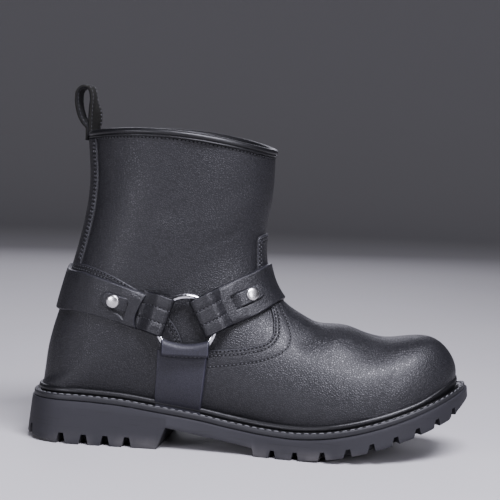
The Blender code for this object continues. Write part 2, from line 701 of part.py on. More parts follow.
def fold_block(middle, right, up, out, end):
    """Strap end folded round the ring: a thick block with a rounded front."""
    ends = dict(zip(STRAP_END_COLUMNS, end))
    turn = math.radians(ends["angle"])
    along = right * math.cos(turn) + up * math.sin(turn)
    across_way = out.cross(along)
    shape = bmesh.new()
    profile = []
    for step in range(9):
        bend = math.pi * (0.5 + step / 8.0)
        profile.append((
            ends["fold"] + FOLD_RADIUS * (1.0 + math.cos(bend)), FOLD_RADIUS * math.sin(bend)))
    profile += [
        (ends["under"], -FOLD_RADIUS), (ends["strap_end"], -0.5 * FOLD_RADIUS),
        (ends["strap_end"], -0.25 * FOLD_RADIUS), (ends["strap_end"] - 3.0, FOLD_RADIUS),
    ]
    sides = []
    for way in (-1.0, 1.0):
        sides.append([
            shape.verts.new(
                middle + (along * a + out * b + across_way * way * ends["half_width"]) * MM)
            for a, b in profile
        ])
    shape.faces.new(sides[0])
    shape.faces.new(sides[1][::-1])
    for i in range(len(profile)):
        k = (i + 1) % len(profile)
        shape.faces.new((sides[0][i], sides[0][k], sides[1][k], sides[1][i]))
    bmesh.ops.triangulate(shape, faces=[f for f in shape.faces if len(f.verts) > 4])
    return shape


def tongue_outline(end):
    """Tongue in the side view, from the strap's slot to its rounded tip."""
    ends = dict(zip(STRAP_END_COLUMNS, end))
    turn = math.radians(ends["angle"])
    along = np.array((math.cos(turn), math.sin(turn)))
    side = np.array((-along[1], along[0]))
    half = 0.5 * TAB_WIDTH
    middle = np.array((RING_X, RING_Z))
    tip = middle + along * (ends["tongue_end"] - half)
    points = [middle + along * ends["slot"] - side * half]
    for step in range(9):
        bend = math.pi * (step / 8.0 - 0.5)
        points.append(tip + half * (along * math.cos(bend) + side * math.sin(bend)))
    points.append(middle + along * ends["slot"] + side * half)
    return points


def build_harness(boot):
    """Straps, rings, tongues and studs on both sides."""
    rear = boot.shell("strap_rear", STRAP_FOOT, STRAP, BLACK_LEATHER)
    boot.boolean(rear, boot.prism("rear_outline", list(REAR_TOP) + list(REAR_FOOT)), "INTERSECT")
    front = boot.shell("strap_front", STRAP_FOOT, STRAP, BLACK_LEATHER)
    boot.boolean(front, boot.prism("front_outline", list(FRONT_TOP) + list(FRONT_FOOT)), "INTERSECT")
    straps = {"rear": rear, "front": front}
    rooms = []
    for side, word in ((-1.0, "lateral"), (1.0, "medial")):
        half = (-90.0, -1.0) if side < 0.0 else (1.0, 90.0)
        corners = list(ARCH_SIDES[:2]) + bead_line(ARCH_SIDES[2][0], ARCH_SIDES[3][0], 5)
        arch = boot.shell(f"strap_arch_{word}", STRAP_FOOT, STRAP, BLACK_LEATHER)
        boot.boolean(arch, boot.prism(f"arch_outline_{word}", corners, *half), "INTERSECT")
        place = ring_frame(boot, side)
        boot.place(f"ring_{word}", ring_shape(*place, 0.5 * RING_WIRE), CHROME)
        room = boot.cutter(f"ring_room_{word}", ring_shape(*place, 0.5 * RING_WIRE + GAP))
        for key, strap in (("rear", rear), ("front", front), ("arch", arch)):
            fold = boot.cutter(f"fold_{key}_{word}", fold_block(*place, STRAP_ENDS[key]))
            boot.boolean(strap, fold, "UNION", "MANIFOLD")
        boot.boolean(arch, room, "DIFFERENCE", "MANIFOLD")
        rooms.append(room)
        for key in straps:
            tab = boot.shell(f"tab_{key}_{word}", TAB_FOOT, TAB, BLACK_LEATHER)
            outline_cut = boot.prism(f"tongue_{key}_{word}", tongue_outline(STRAP_ENDS[key]), *half)
            boot.boolean(tab, outline_cut, "INTERSECT")
            build_stud(boot, key, word, side)
    for room in rooms:
        for strap in straps.values():
            boot.boolean(strap, room, "DIFFERENCE", "MANIFOLD")


def build_stud(boot, key, word, side):
    """Dome stud on a tongue."""
    ends = dict(zip(STRAP_END_COLUMNS, STRAP_ENDS[key]))
    turn = math.radians(ends["angle"])
    x = RING_X + math.cos(turn) * ends["stud"]
    z = RING_Z + math.sin(turn) * ends["stud"]
    point, normal = boot.face_at(x, z, side)
    shape = bmesh.new()
    bmesh.ops.create_uvsphere(shape, u_segments=12, v_segments=6, radius=STUD_RADIUS * MM)
    cut = bmesh.ops.bisect_plane(
        shape, geom=shape.verts[:] + shape.edges[:] + shape.faces[:],
        plane_co=(0.0, 0.0, 0.0), plane_no=(0.0, 0.0, 1.0), clear_inner=True, dist=0.000001)
    rim = [e for e in cut["geom_cut"] if isinstance(e, bmesh.types.BMEdge)]
    bmesh.ops.contextual_create(shape, geom=rim)
    for v in shape.verts:
        v.co.z *= STUD_HEIGHT / STUD_RADIUS
    made = boot.place(f"stud_{key}_{word}", shape, CHROME)
    turned = Vector((0.0, 0.0, 1.0)).rotation_difference(normal)
    made.rotation_mode = "QUATERNION"
    made.rotation_quaternion = turned
    made.location = point + normal * (TAB_TOP + STUD_ROOM[key]) * MM


def main():
    """Build the boot from the floor up."""
    for made in list(bpy.data.objects):
        bpy.data.objects.remove(made, do_unlink=True)
    boot = Boot()
    build_sole(boot)
    build_upper(boot)
    build_panels(boot)
    build_binding(boot)
    build_loop(boot)
    build_harness(boot)
    boot.leather.free()


if __name__ == "__main__":
    main()
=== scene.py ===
"""Looks of the harness ankle boot: leather, rubber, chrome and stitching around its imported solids.

Lengths are millimetres from the back of the heel unless a name says otherwise: x runs to the toe, y to the
inner side of the foot and z up from the floor. The lasted form is one surface of two numbers, a row from
toe to collar and a column from the outer side over the ridge to the inner side, and every panel, strap and
stitch is laid on that surface.
"""
import logging
import math
from dataclasses import dataclass, field
from enum import Enum
from functools import cached_property
from typing import Any, NamedTuple, Optional, Sequence, Union

import bmesh
import bpy
import numpy as np
from mathutils import Matrix


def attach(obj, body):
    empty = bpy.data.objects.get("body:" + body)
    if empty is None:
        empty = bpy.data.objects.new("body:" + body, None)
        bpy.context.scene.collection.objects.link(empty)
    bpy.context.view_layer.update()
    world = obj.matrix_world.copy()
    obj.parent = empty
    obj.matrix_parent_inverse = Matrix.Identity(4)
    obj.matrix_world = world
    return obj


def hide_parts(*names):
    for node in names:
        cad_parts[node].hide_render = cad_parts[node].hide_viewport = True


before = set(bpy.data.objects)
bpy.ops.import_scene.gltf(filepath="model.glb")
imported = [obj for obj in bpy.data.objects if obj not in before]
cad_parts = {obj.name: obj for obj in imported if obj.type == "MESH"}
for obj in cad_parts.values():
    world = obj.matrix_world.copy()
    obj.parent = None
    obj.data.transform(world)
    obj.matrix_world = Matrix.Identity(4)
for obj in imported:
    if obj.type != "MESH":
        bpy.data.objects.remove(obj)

LOG = logging.getLogger("harness_boot")
Array = np.ndarray
Value = Union["Socket", float]
Pair = tuple[float, float]
Triple = tuple[float, float, float]
Steps = tuple[float, ...]
Table = dict[str, Array]
Frames = tuple[Array, Array, Array, Array]

MM = 0.001
ORIGIN_X = 70.0
BODY = "root"
WELD = 2e-6
SPECK = 1e-6
TINY = 1e-6


class Side(Enum):
    """Side of the boot: the outer one shows in the photograph."""

    LATERAL = -1
    MEDIAL = 1


class Slot(Enum):
    """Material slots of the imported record."""

    LEATHER = "leather"
    GLOSS = "gloss_leather"
    RUBBER = "rubber"
    CHROME = "chrome"


def named(columns: Sequence[str], rows: Sequence[Sequence[float]]) -> Table:
    """Columns of a table by name."""
    return dict(zip(columns, np.array(rows, float).T))


def columns_of(columns: Sequence[str], rows: Sequence[Sequence[float]]) -> Any:
    """Field of a class that holds a table's columns by name."""
    return field(default_factory=lambda: named(columns, rows))


def smooth(at: Any, xs: Array, ys: Array) -> Array:
    """Curve through points that keeps their rises and falls.

    Cubic between neighbours, with the harmonic mean of the two slopes at each point and no slope at a turn.

    Args:
        at: Places to read the curve.
        xs: Rising places of the points.
        ys: Heights of the points.

    Returns:
        Heights at the places.
    """
    at = np.clip(np.asarray(at, float), xs[0], xs[-1])
    step = np.diff(xs)
    rise = np.diff(ys) / step
    slope = np.zeros(len(xs))
    one, two = 2.0 * step[1:] + step[:-1], step[1:] + 2.0 * step[:-1]
    with np.errstate(divide="ignore", invalid="ignore"):
        inner = (one + two) / (one / rise[:-1] + two / rise[1:])
    slope[1:-1] = np.where(rise[1:] * rise[:-1] > 0.0, inner, 0.0)
    slope[0], slope[-1] = rise[0], rise[-1]
    k = np.clip(np.searchsorted(xs, at, side="right") - 1, 0, len(xs) - 2)
    h, u = step[k], (at - xs[k]) / step[k]
    start = ys[k] * (1 + 2 * u) * (1 - u) ** 2 + h * slope[k] * u * (1 - u) ** 2
    end = ys[k + 1] * u ** 2 * (3 - 2 * u) + h * slope[k + 1] * u ** 2 * (u - 1)
    return start + end


def ease(at: Any, low: float, high: float) -> Array:
    """Smooth step from 0 at low to 1 at high."""
    u = np.clip((np.asarray(at, float) - low) / (high - low), 0.0, 1.0)
    return u * u * (3.0 - 2.0 * u)


def round_over(depth: Any, radius: float) -> Array:
    """Quarter circle from 0 at an edge to 1 at a radius in from it."""
    u = np.clip(np.asarray(depth, float) / radius, 0.0, 1.0)
    return np.sqrt(1.0 - (1.0 - u) ** 2)


def unit(vectors: Array) -> Array:
    """Vectors of length one."""
    return vectors / np.maximum(np.linalg.norm(vectors, axis=-1, keepdims=True), 1e-12)


def run_along(points: Array) -> Array:
    """Distance along a row of points."""
    return np.r_[0.0, np.cumsum(np.linalg.norm(np.diff(points, axis=0), axis=1))]


def round_turn(count: int) -> Array:
    """Even angles round a circle, from 0."""
    return np.linspace(0.0, 2.0 * math.pi, count + 1)[:-1]


def bell(at: Any, middle: float, reach: float) -> Array:
    """Bell of height 1 about a place."""
    return np.exp(-((at - middle) / reach) ** 2)


def read_sorted(at: Any, xs: Array, ys: Array) -> Array:
    """Straight lines through points that come in any order."""
    order = np.argsort(xs)
    return np.interp(at, xs[order], ys[order])


def repeat_quads(quads: Array, count: int, step: int) -> Array:
    """Faces of one shape, again for each of its copies."""
    return (quads[None] + step * np.arange(count)[:, None, None]).reshape(-1, 4)


def frames_along(path: Array, normal: Array, at: Array) -> Frames:
    """Places and axes at distances along a path.

    Args:
        path: Points along the path.
        normal: Outward directions there.
        at: Distances along the path.

    Returns:
        Points, and the directions along, across and out.
    """
    run = run_along(path)
    middle, out, along = (
        np.stack([np.interp(at, run, values[:, k]) for k in range(3)], -1)
        for values in (path, normal, np.gradient(path, axis=0))
    )
    out, along = unit(out), unit(along)
    return middle, along, np.cross(out, along), out


def link(name: str, data: bpy.types.ID) -> bpy.types.Object:
    """New object in the scene."""
    made = bpy.data.objects.new(name, data)
    bpy.context.scene.collection.objects.link(made)
    return made


def aimed(right: Array, up: Array, back: Array, place: Any) -> Matrix:
    """Matrix of a camera or a light from its axes and its place in metres."""
    matrix = np.eye(4)
    matrix[:3] = np.stack((right, up, back, place), -1)
    return Matrix(matrix.tolist())


def distance_to(points: Array, path: Array) -> Array:
    """Least distance of each point to a path of straight pieces.

    Each point is dropped on every piece, held between its ends, and the nearest foot counts.

    Args:
        points: Points, any shape ending in 3.
        path: Points along the path.

    Returns:
        Distances, of the points' shape without the last axis.
    """
    flat = points.reshape(-1, 3)
    start, run = path[:-1], np.diff(path, axis=0)
    length = np.maximum(np.sum(run * run, axis=1), 1e-12)
    least = np.full(len(flat), np.inf)
    for part in np.array_split(np.arange(len(start)), max(1, len(start) // 12)):
        away = flat[:, None] - start[part][None]
        share = np.clip(np.sum(away * run[part][None], -1) / length[part][None], 0.0, 1.0)
        gap = np.linalg.norm(away - share[..., None] * run[part][None], axis=-1)
        least = np.minimum(least, gap.min(1))
    return least.reshape(points.shape[:-1])


@dataclass
class MeshParts:
    """Grids of points gathered into one mesh."""

    points: list = field(default_factory=list)
    faces: list = field(default_factory=list)
    slots: list = field(default_factory=list)
    edges: list = field(default_factory=list)
    seams: list = field(default_factory=list)
    count: int = 0

    def grid(self, points: Array, outward: Array, around: bool = False, closed: bool = False,
             slot: int = 0, edge: Optional[Array] = None, seam: Optional[Array] = None) -> "MeshParts":
        """Add a grid of quads, turned so that its faces point outwards.

        Args:
            points: Rows by columns by 3.
            outward: Rough outward direction at each point, or one for all.
            around: Join the last column to the first.
            closed: Join the last row to the first.
            slot: Place of its material.
            edge: Mask of edge wear with a painted highlight at each point, from 0 to 1.
            seam: Mask of painted shade in seam grooves and at cut edges, at each point, from 0 to 1.

        Returns:
            This gathering.
        """
        rows, columns = points.shape[:2]
        index = np.arange(rows * columns).reshape(rows, columns)
        index = np.c_[index, index[:, :1]] if around else index
        index = np.r_[index, index[:1]] if closed else index
        corners = (index[:-1, :-1], index[:-1, 1:], index[1:, 1:], index[1:, :-1])
        quads = np.stack(corners, -1).reshape(-1, 4)
        flat = points.reshape(-1, 3)
        out = np.broadcast_to(outward, points.shape).reshape(-1, 3)
        facing = np.cross(flat[quads[:, 2]] - flat[quads[:, 0]], flat[quads[:, 3]] - flat[quads[:, 1]])
        if np.sum(facing * out[quads[:, 0]]) < 0.0:
            quads = quads[:, ::-1]
        return self.add(flat, quads, slot, edge, seam)

    def add(self, flat: Array, quads: Array, slot: int = 0, edge: Optional[Array] = None,
            seam: Optional[Array] = None) -> "MeshParts":
        """Add points and the quads between them.

        Args:
            flat: Points.
            quads: Four point numbers of each face.
            slot: Place of its material.
            edge: Mask of edge wear with a painted highlight at each point, from 0 to 1.
            seam: Mask of painted shade in seam grooves and at cut edges, at each point, from 0 to 1.

        Returns:
            This gathering.
        """
        self.points.append(flat)
        self.faces.append(quads + self.count)
        self.slots.append(np.full(len(quads), slot))
        self.edges.append(np.zeros(len(flat)) if edge is None else edge.ravel())
        self.seams.append(np.zeros(len(flat)) if seam is None else seam.ravel())
        self.count += len(flat)
        return self

    def build(self, name: str, finishes: Sequence["Finish"], slot: Slot,
              replaces: Sequence[str] = (), sharp: float = 0.0) -> bpy.types.Object:
        """Make the piece, weld its seams, dress it and let it ride.

        Args:
            name: Name of the piece.
            finishes: Its finishes, by slot number.
            slot: The record's slot for it; not used.
            replaces: Solids that it stands for.
            sharp: Angle in degrees over which edges stay sharp, or 0 for none.

        Returns:
            The new object.
        """
        mesh = bpy.data.meshes.new(name)
        points = (np.vstack(self.points) - (ORIGIN_X, 0.0, 0.0)) * MM
        mesh.from_pydata(points.tolist(), [], np.vstack(self.faces).tolist())
        mesh.polygons.foreach_set("material_index", np.concatenate(self.slots).astype(np.int32))
        # The edge mask is wear with a painted highlight; the seam mask is painted shade.
        for word, values in (("edge", self.edges), ("seam", self.seams)):
            mask = mesh.attributes.new(word, "FLOAT", "POINT")
            mask.data.foreach_set("value", np.concatenate(values).astype(np.float32))
        shape = bmesh.new()
        shape.from_mesh(mesh)
        bmesh.ops.remove_doubles(shape, verts=shape.verts, dist=WELD)
        bmesh.ops.dissolve_degenerate(shape, edges=shape.edges, dist=SPECK)
        shape.to_mesh(mesh)
        shape.free()
        mesh.shade_smooth()
        if sharp:
            mesh.set_sharp_from_angle(angle=math.radians(sharp))
        for finish in finishes:
            mesh.materials.append(finish.material)
        made = link(name, mesh)
        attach(made, BODY)
        if replaces:
            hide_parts(*replaces)
        mesh.calc_loop_triangles()
        LOG.info("%s: %d triangles", name, len(mesh.loop_triangles))
        return made


@dataclass
class SoleForm:
    """Outline and heights of the sole, shared by outsole, welt and featherline."""

    length: float = 305.0
    heel_round: float = 40.0
    toe_round: float = 82.0
    end_power: float = 2.3
    toe_spring: float = 34.0
    spring_start: float = 186.0
    spring_power: float = 1.84
    heel_bevel: float = 4.0
    heel_bevel_run: float = 46.0
    breast_foot: float = 97.5
    breast_top: float = 103.5
    waist_heel_z: float = 15.0
    lug_height: float = 5.5
    fore_start: float = 163.0
    lug_step: float = 1.6
    ledge_thick: float = 3.7
    bead_height: float = 4.5
    gap: float = 0.3
    dense: int = 700
    outline_table: Table = columns_of(("x", "centre", "half"), (
        (0.0, 0.0, 40.0),
        (40.0, -0.8, 39.8),
        (75.0, -1.3, 39.6),
        (110.0, -3.2, 38.3),
        (150.0, -3.4, 40.5),
        (190.0, -2.0, 50.0),
        (222.0, -0.8, 55.4),
        (250.0, 1.0, 54.8),
        (280.0, 4.6, 53.5),
        (305.0, 8.6, 52.0),
    ))
    inset_table: Table = columns_of(
        ("x", "top", "ledge", "bead", "feather"), (
            (0.0, 2.8, 3.9, 7.2, 10.8),
            (120.0, 2.0, 3.4, 7.2, 10.8),
            (250.0, 0.9, 2.4, 7.4, 10.8),
            (305.0, 0.6, 2.2, 7.6, 10.7),
        ))
    seat_table: Table = columns_of(("x", "z"), (
        (0.0, 37.4),
        (35.0, 37.6),
        (66.0, 36.4),
        (96.0, 33.0),
        (127.0, 29.0),
        (147.0, 25.6),
        (170.0, 22.9),
        (195.0, 22.0),
        (240.0, 22.0),
        (305.0, 21.2),
    ))

    def spring(self, x: Any) -> Array:
        """Rise of the tread line towards the toe."""
        run = (np.asarray(x, float) - self.spring_start) / (self.length - self.spring_start)
        return self.toe_spring * np.clip(run, 0.0, 1.1) ** self.spring_power

    def bead_z(self, x: Any) -> Array:
        """Height of the bead's top, where the upper starts to show."""
        return smooth(x, self.seat_table["x"], self.seat_table["z"]) + self.spring(x)

    def deck_z(self, x: Any) -> Array:
        """Height of the outsole's top face."""
        return self.bead_z(x) - self.gap - self.ledge_thick - self.bead_height

    def tread_z(self, x: Any) -> Array:
        """Height of the underside: heel, breast, waist and forefoot.

        Args:
            x: Places along the boot.

        Returns:
            Heights there.
        """
        x = np.asarray(x, float)
        heel = self.heel_bevel * np.clip(1.0 - x / self.heel_bevel_run, 0.0, 1.0) ** 2
        knots = (self.breast_foot, self.breast_top, self.fore_start, self.fore_start + self.lug_step)
        return heel + np.interp(x, knots, (0.0, self.waist_heel_z, self.lug_height, 0.0)) + self.spring(x)

    def outline(self, steps: int) -> Array:
        """Outsole from above: heel back, outer side, toe, inner side.

        Half widths come from the table and fall to nothing at both ends as a superellipse does; places along
        the length are cosines of even turns, so the points are dense at the ends.

        Args:
            steps: Points on each side.

        Returns:
            Loop of x and y.
        """
        turn = (np.arange(2 * steps) + 0.5) * math.pi / steps
        x = 0.5 * self.length * (1.0 - np.cos(turn))
        heel = np.clip(1.0 - x / self.heel_round, 0.0, 1.0) ** self.end_power
        toe = np.clip(1.0 - (self.length - x) / self.toe_round, 0.0, 1.0) ** self.end_power
        ends = np.maximum(1.0 - heel - toe, 0.0) ** (1.0 / self.end_power)
        side = np.where(turn < math.pi, -1.0, 1.0)
        table = self.outline_table
        centre, half = (smooth(x, table["x"], table[name]) for name in ("centre", "half"))
        return np.c_[x, centre + side * half * ends]

    def inset(self, loop: Array, distance: Any) -> Array:
        """Loop moved inwards along its own normals."""
        along = unit(np.roll(loop, -1, 0) - np.roll(loop, 1, 0))
        return loop + np.c_[-along[:, 1], along[:, 0]] * np.broadcast_to(distance, len(loop))[:, None]

    def line(self, loop: Array, column: str, extra: float = 0.0) -> Array:
        """Loop moved in to a named line of the sole's side."""
        return self.inset(loop, smooth(loop[:, 0], self.inset_table["x"], self.inset_table[column]) + extra)

    def feather(self, x: Any) -> tuple[Array, Array]:
        """Outer and inner side of the featherline.

        Args:
            x: Places along the boot.

        Returns:
            Its y on the outer and on the inner side.
        """
        loop = self.line(self.outline(self.dense), "feather")
        ring = np.roll(loop, -np.argmin(loop[:, 0]), 0)
        toe = int(np.argmax(ring[:, 0]))
        outer, inner = ring[: toe + 1], np.vstack((ring[toe:], ring[:1]))[::-1]
        return np.interp(x, outer[:, 0], outer[:, 1]), np.interp(x, inner[:, 0], inner[:, 1])

    def heel_x(self) -> float:
        """Back end of the featherline."""
        return float(self.line(self.outline(self.dense), "feather")[:, 0].min())


class CreaseForm(NamedTuple):
    """Side view path of a crease, depth (less than 0 for a ridge), reach and whether it crosses the top."""

    path: tuple
    depth: float
    reach: float
    over: bool


class Crease(Enum):
    """Soft troughs and ridges of the leather."""

    SHAFT_VALLEY = CreaseForm(((124.0, 209.0), (113.0, 186.0), (103.0, 163.0)), 1.5, 10.0, False)
    SHAFT_FOLD = CreaseForm(((130.0, 140.0), (140.0, 144.5), (150.0, 151.0)), 0.22, 3.5, False)
    SHAFT_RIDGE = CreaseForm(((126.0, 147.0), (137.0, 152.0), (147.0, 159.0)), -0.22, 5.0, False)
    INSTEP_BREAK = CreaseForm(((198.0, 84.0), (195.0, 78.0)), 1.7, 9.5, True)
    INSTEP_SWELL = CreaseForm(((219.0, 80.5), (217.0, 75.0)), -1.9, 11.0, True)
    TOE_BREAK = CreaseForm(((247.0, 77.0), (245.0, 71.0)), 1.2, 12.0, True)
    TOE_SWELL = CreaseForm(((272.0, 76.5), (270.0, 71.0)), -0.6, 10.0, True)


@dataclass
class Last:
    """Lasted form of the upper as a dense surface of rows and columns."""

    sole: SoleForm
    rows: int = 440
    half: int = 100
    soften: float = 0.5
    soften_wide: float = 2.2
    fine_steps: int = 60
    section_points: int = 601
    bulge_range: Pair = (-0.05, 0.25)
    heel_reach: int = 24
    heel_bell: float = 9.0
    heel_span: float = 22.0
    heel_rim: float = 9.0
    locate_rounds: int = 8
    locate_stride: float = 5.0
    crease_points: int = 14
    foot_table: Table = columns_of(
        ("base_x", "top_x", "top_z", "width", "wide_at", "power", "ridge_y"), (
            (284.0, 294.3, 50.4, 40.0, -6.0, 2.3, 8.3),
            (281.0, 295.4, 56.0, 41.0, -2.8, 2.3, 8.1),
            (276.5, 294.0, 62.5, 42.0, -1.5, 2.3, 7.8),
            (270.0, 290.4, 69.2, 43.0, -0.8, 2.3, 7.3),
            (262.0, 284.6, 75.2, 44.0, -0.38, 2.3, 6.8),
            (252.0, 275.5, 79.0, 45.0, -0.11, 2.3, 6.2),
            (239.0, 261.0, 78.5, 46.0, 0.07, 2.3, 5.4),
            (225.0, 245.0, 77.6, 46.6, 0.17, 2.25, 4.6),
            (209.0, 229.0, 79.6, 45.6, 0.235, 2.2, 4.0),
            (191.0, 213.0, 83.4, 43.4, 0.28, 2.2, 3.4),
            (172.0, 199.0, 86.6, 40.6, 0.31, 2.2, 2.8),
            (151.0, 187.5, 90.8, 38.0, 0.35, 2.2, 2.2),
            (129.0, 178.6, 96.0, 36.8, 0.39, 2.2, 1.6),
            (106.0, 171.6, 103.0, 36.6, 0.43, 2.2, 1.0),
            (83.0, 166.4, 112.0, 36.9, 0.45, 2.2, 0.6),
            (61.0, 163.4, 122.0, 37.4, 0.46, 2.2, 0.3),
            (42.0, 162.0, 132.0, 37.9, 0.47, 2.2, 0.0),
            (27.0, 161.9, 141.0, 38.3, 0.48, 2.2, 0.0),
            (17.0, 162.5, 148.5, 38.7, 0.485, 2.2, 0.0),
        ))
    leg_table: Table = columns_of(
        ("base_x", "base_z", "top_x", "top_z", "width", "wide_at", "power", "lift"), (
            (11.0, 37.6, 163.4, 154.0, 39.0, 0.49, 2.2, 0.0),
            (12.0, 46.0, 164.4, 159.0, 39.3, 0.49, 2.2, 0.0),
            (13.5, 59.0, 165.3, 164.5, 39.8, 0.49, 2.2, 0.0),
            (16.6, 73.0, 166.0, 170.0, 40.3, 0.49, 2.2, 0.0),
            (21.0, 88.0, 166.5, 175.0, 40.9, 0.49, 2.2, 0.0),
            (25.4, 104.0, 166.8, 180.0, 41.5, 0.49, 2.2, 0.0),
            (29.7, 120.0, 167.0, 184.5, 42.1, 0.49, 2.15, 0.4),
            (33.9, 136.0, 167.1, 188.5, 42.8, 0.49, 2.15, 1.0),
            (37.5, 152.0, 167.2, 192.0, 43.5, 0.49, 2.15, 2.0),
            (39.8, 167.0, 167.2, 195.0, 44.2, 0.5, 2.1, 3.2),
            (40.6, 181.0, 167.1, 197.6, 44.9, 0.5, 2.1, 4.6),
            (39.8, 196.0, 167.0, 200.6, 45.8, 0.5, 2.1, 6.0),
            (38.6, 211.3, 166.9, 203.0, 46.8, 0.5, 2.1, 7.0),
        ))
    points: Array = field(init=False)
    normals: Array = field(init=False)
    heel_row: float = field(init=False)
    heel_index: float = field(init=False)
    table: Table = field(init=False)
    _creases: list = field(init=False)
    _padded: Array = field(init=False)

    def __post_init__(self) -> None:
        """Work out the dense surface once."""
        foot, leg = self.foot_table, self.leg_table
        self.heel_index = float(len(foot["base_x"]))
        blank = {"base_z": self.sole.bead_z(foot["base_x"]), "lift": np.zeros_like(foot["base_x"])}
        upper_leg = {**leg, "ridge_y": np.zeros_like(leg["base_x"])}
        lower = {**foot, **blank}
        self.table = {name: np.r_[lower[name], upper_leg[name]] for name in upper_leg}
        self.table["base_x"][int(self.heel_index)] = self.sole.heel_x()
        last_index = len(self.table["base_x"]) - 1.0
        fine = np.linspace(0.0, last_index, self.fine_steps * int(last_index) + 1)
        columns = self._columns(fine)
        base, top = self._base(fine, columns), np.c_[columns["top_x"], columns["ridge_y"], columns["top_z"]]
        run = 0.5 * (run_along(base) + run_along(top))
        at = np.interp(np.linspace(0.0, run[-1], self.rows), run, fine)
        self.heel_row = float(np.interp(self.heel_index, at, np.arange(self.rows)))
        self._lay(at, {name: np.interp(at, fine, column) for name, column in columns.items()})
        self._creases = [
            (path, crease.value.depth, crease.value.reach)
            for crease in Crease for path in self._crease_paths(crease)
        ]

    def _columns(self, fine: Array) -> Table:
        """Columns at fine places, softened by a Gaussian that keeps their ends.

        Args:
            fine: Even places along the table's rows.

        Returns:
            Columns by name.
        """
        index = np.arange(len(self.table["base_x"]), dtype=float)
        per_row = (len(fine) - 1) / index[-1]
        made = {name: smooth(fine, index, column) for name, column in self.table.items()}
        for name in ("top_x", "top_z", "width", "wide_at", "power", "ridge_y", "lift"):
            wide = self.soften * per_row * (self.soften_wide if name == "wide_at" else 1.0)
            reach = int(3.0 * wide)
            weights = np.exp(-0.5 * (np.arange(-reach, reach + 1) / wide) ** 2)
            column = made[name]
            head = 2.0 * column[0] - column[reach:0:-1]
            tail = 2.0 * column[-1] - column[-2:-reach - 2:-1]
            made[name] = np.convolve(np.r_[head, column, tail], weights / weights.sum(), "valid")
        return made

    def _base(self, at: Array, columns: Table) -> Array:
        """Outer base point of each section: on the featherline, then up the back seam.

        Args:
            at: Index of each section.
            columns: Table values of each section.

        Returns:
            Points.
        """
        outer, _ = self.sole.feather(columns["base_x"])
        foot = at < self.heel_index
        z = np.where(foot, self.sole.bead_z(columns["base_x"]), columns["base_z"])
        return np.c_[columns["base_x"], np.where(foot, outer, 0.0), z]

    def _lay(self, at: Array, columns: Table) -> None:
        """Fill the surface.

        A section runs in the side view from its base to its top. Its half width is a superellipse about the
        place where it is widest, cut off at the base where the featherline is; points are even round it.

        Args:
            at: Index of each section.
            columns: Table values of each section.
        """
        foot = (at < self.heel_index)[:, None]
        outer, inner = self.sole.feather(columns["base_x"])
        base_half = np.where(foot[:, 0], 0.5 * (inner - outer), 0.0)[:, None]
        base_y = np.where(foot[:, 0], 0.5 * (inner + outer), 0.0)[:, None]
        base = self._base(at, columns)[:, (0, 2)]
        top = np.c_[columns["top_x"], columns["top_z"]]
        length = np.linalg.norm(top - base, axis=1)[:, None]
        wide, power = columns["wide_at"][:, None], columns["power"][:, None]
        along = 0.5 * (1.0 - np.cos(np.linspace(0.0, math.pi, self.section_points)))[None]
        over = np.clip((along - wide) / (1.0 - wide), 0.0, 1.0)
        least = base_half * 1.002
        full = least + np.maximum(columns["width"][:, None] - least, 0.0) * ease(wide, *self.bulge_range)
        reach = np.clip(1.0 - (base_half / np.maximum(full, TINY)) ** power, 0.0, 1.0) ** (1.0 / power)
        under = np.clip((wide - along) / np.maximum(wide, TINY), 0.0, 1.0) * reach
        bulged = full * (1.0 - np.maximum(under, over) ** power) ** (1.0 / power)
        plain = (1.0 - over ** power) ** (1.0 / power)
        plain = plain * base_half / np.maximum(plain[:, :1], TINY)
        width = np.where(wide <= 0.0, plain, bulged)
        run = np.hypot(np.diff(along) * length, np.diff(width))
        run = np.c_[np.zeros(len(run)), np.cumsum(run, axis=1)]
        shift = 2.0 * np.arange(len(run))[:, None]
        even = (np.linspace(0.0, 1.0, self.half + 1)[None] + shift).ravel()
        share = (run / run[:, -1:] + shift).ravel()
        shape = (len(run), self.half + 1)
        along = np.interp(even, share, np.broadcast_to(along, run.shape).ravel()).reshape(shape)
        width = np.interp(even, share, width.ravel()).reshape(shape)
        centre = base_y + (columns["ridge_y"][:, None] - base_y) * along
        x = base[:, :1] + (top - base)[:, :1] * along
        z = base[:, 1:] + (top - base)[:, 1:] * along
        z = z + 4.0 * columns["lift"][:, None] * along * (1.0 - along)
        outer_side = np.stack((x, centre - width, z), -1)
        inner_side = np.stack((x, centre + width, z), -1)
        self.points = self._blend_heel(np.concatenate((outer_side, inner_side[:, -2::-1]), axis=1))
        normal = unit(np.cross(np.gradient(self.points, axis=0), np.gradient(self.points, axis=1)))
        if normal[self.rows // 2, self.half // 2, 1] > 0.0:
            normal = -normal
        leg = ~foot[:, 0]
        seam = unit((normal[:, 0] + normal[:, -1]) * (1.0, 0.0, 1.0))
        normal[leg, 0] = normal[leg, -1] = seam[leg]
        self.normals = normal
        both = np.concatenate((self.points, self.normals), -1)
        left = np.where(leg[:, None], both[:, -2], 2.0 * both[:, 0] - both[:, 1])
        right = np.where(leg[:, None], both[:, 1], 2.0 * both[:, -1] - both[:, -2])
        wide_grid = np.concatenate((left[:, None], both, right[:, None]), axis=1)
        first, last = 2.0 * wide_grid[:1] - wide_grid[1:2], 2.0 * wide_grid[-1:] - wide_grid[-2:-1]
        self._padded = np.concatenate((first, wide_grid, last), axis=0)

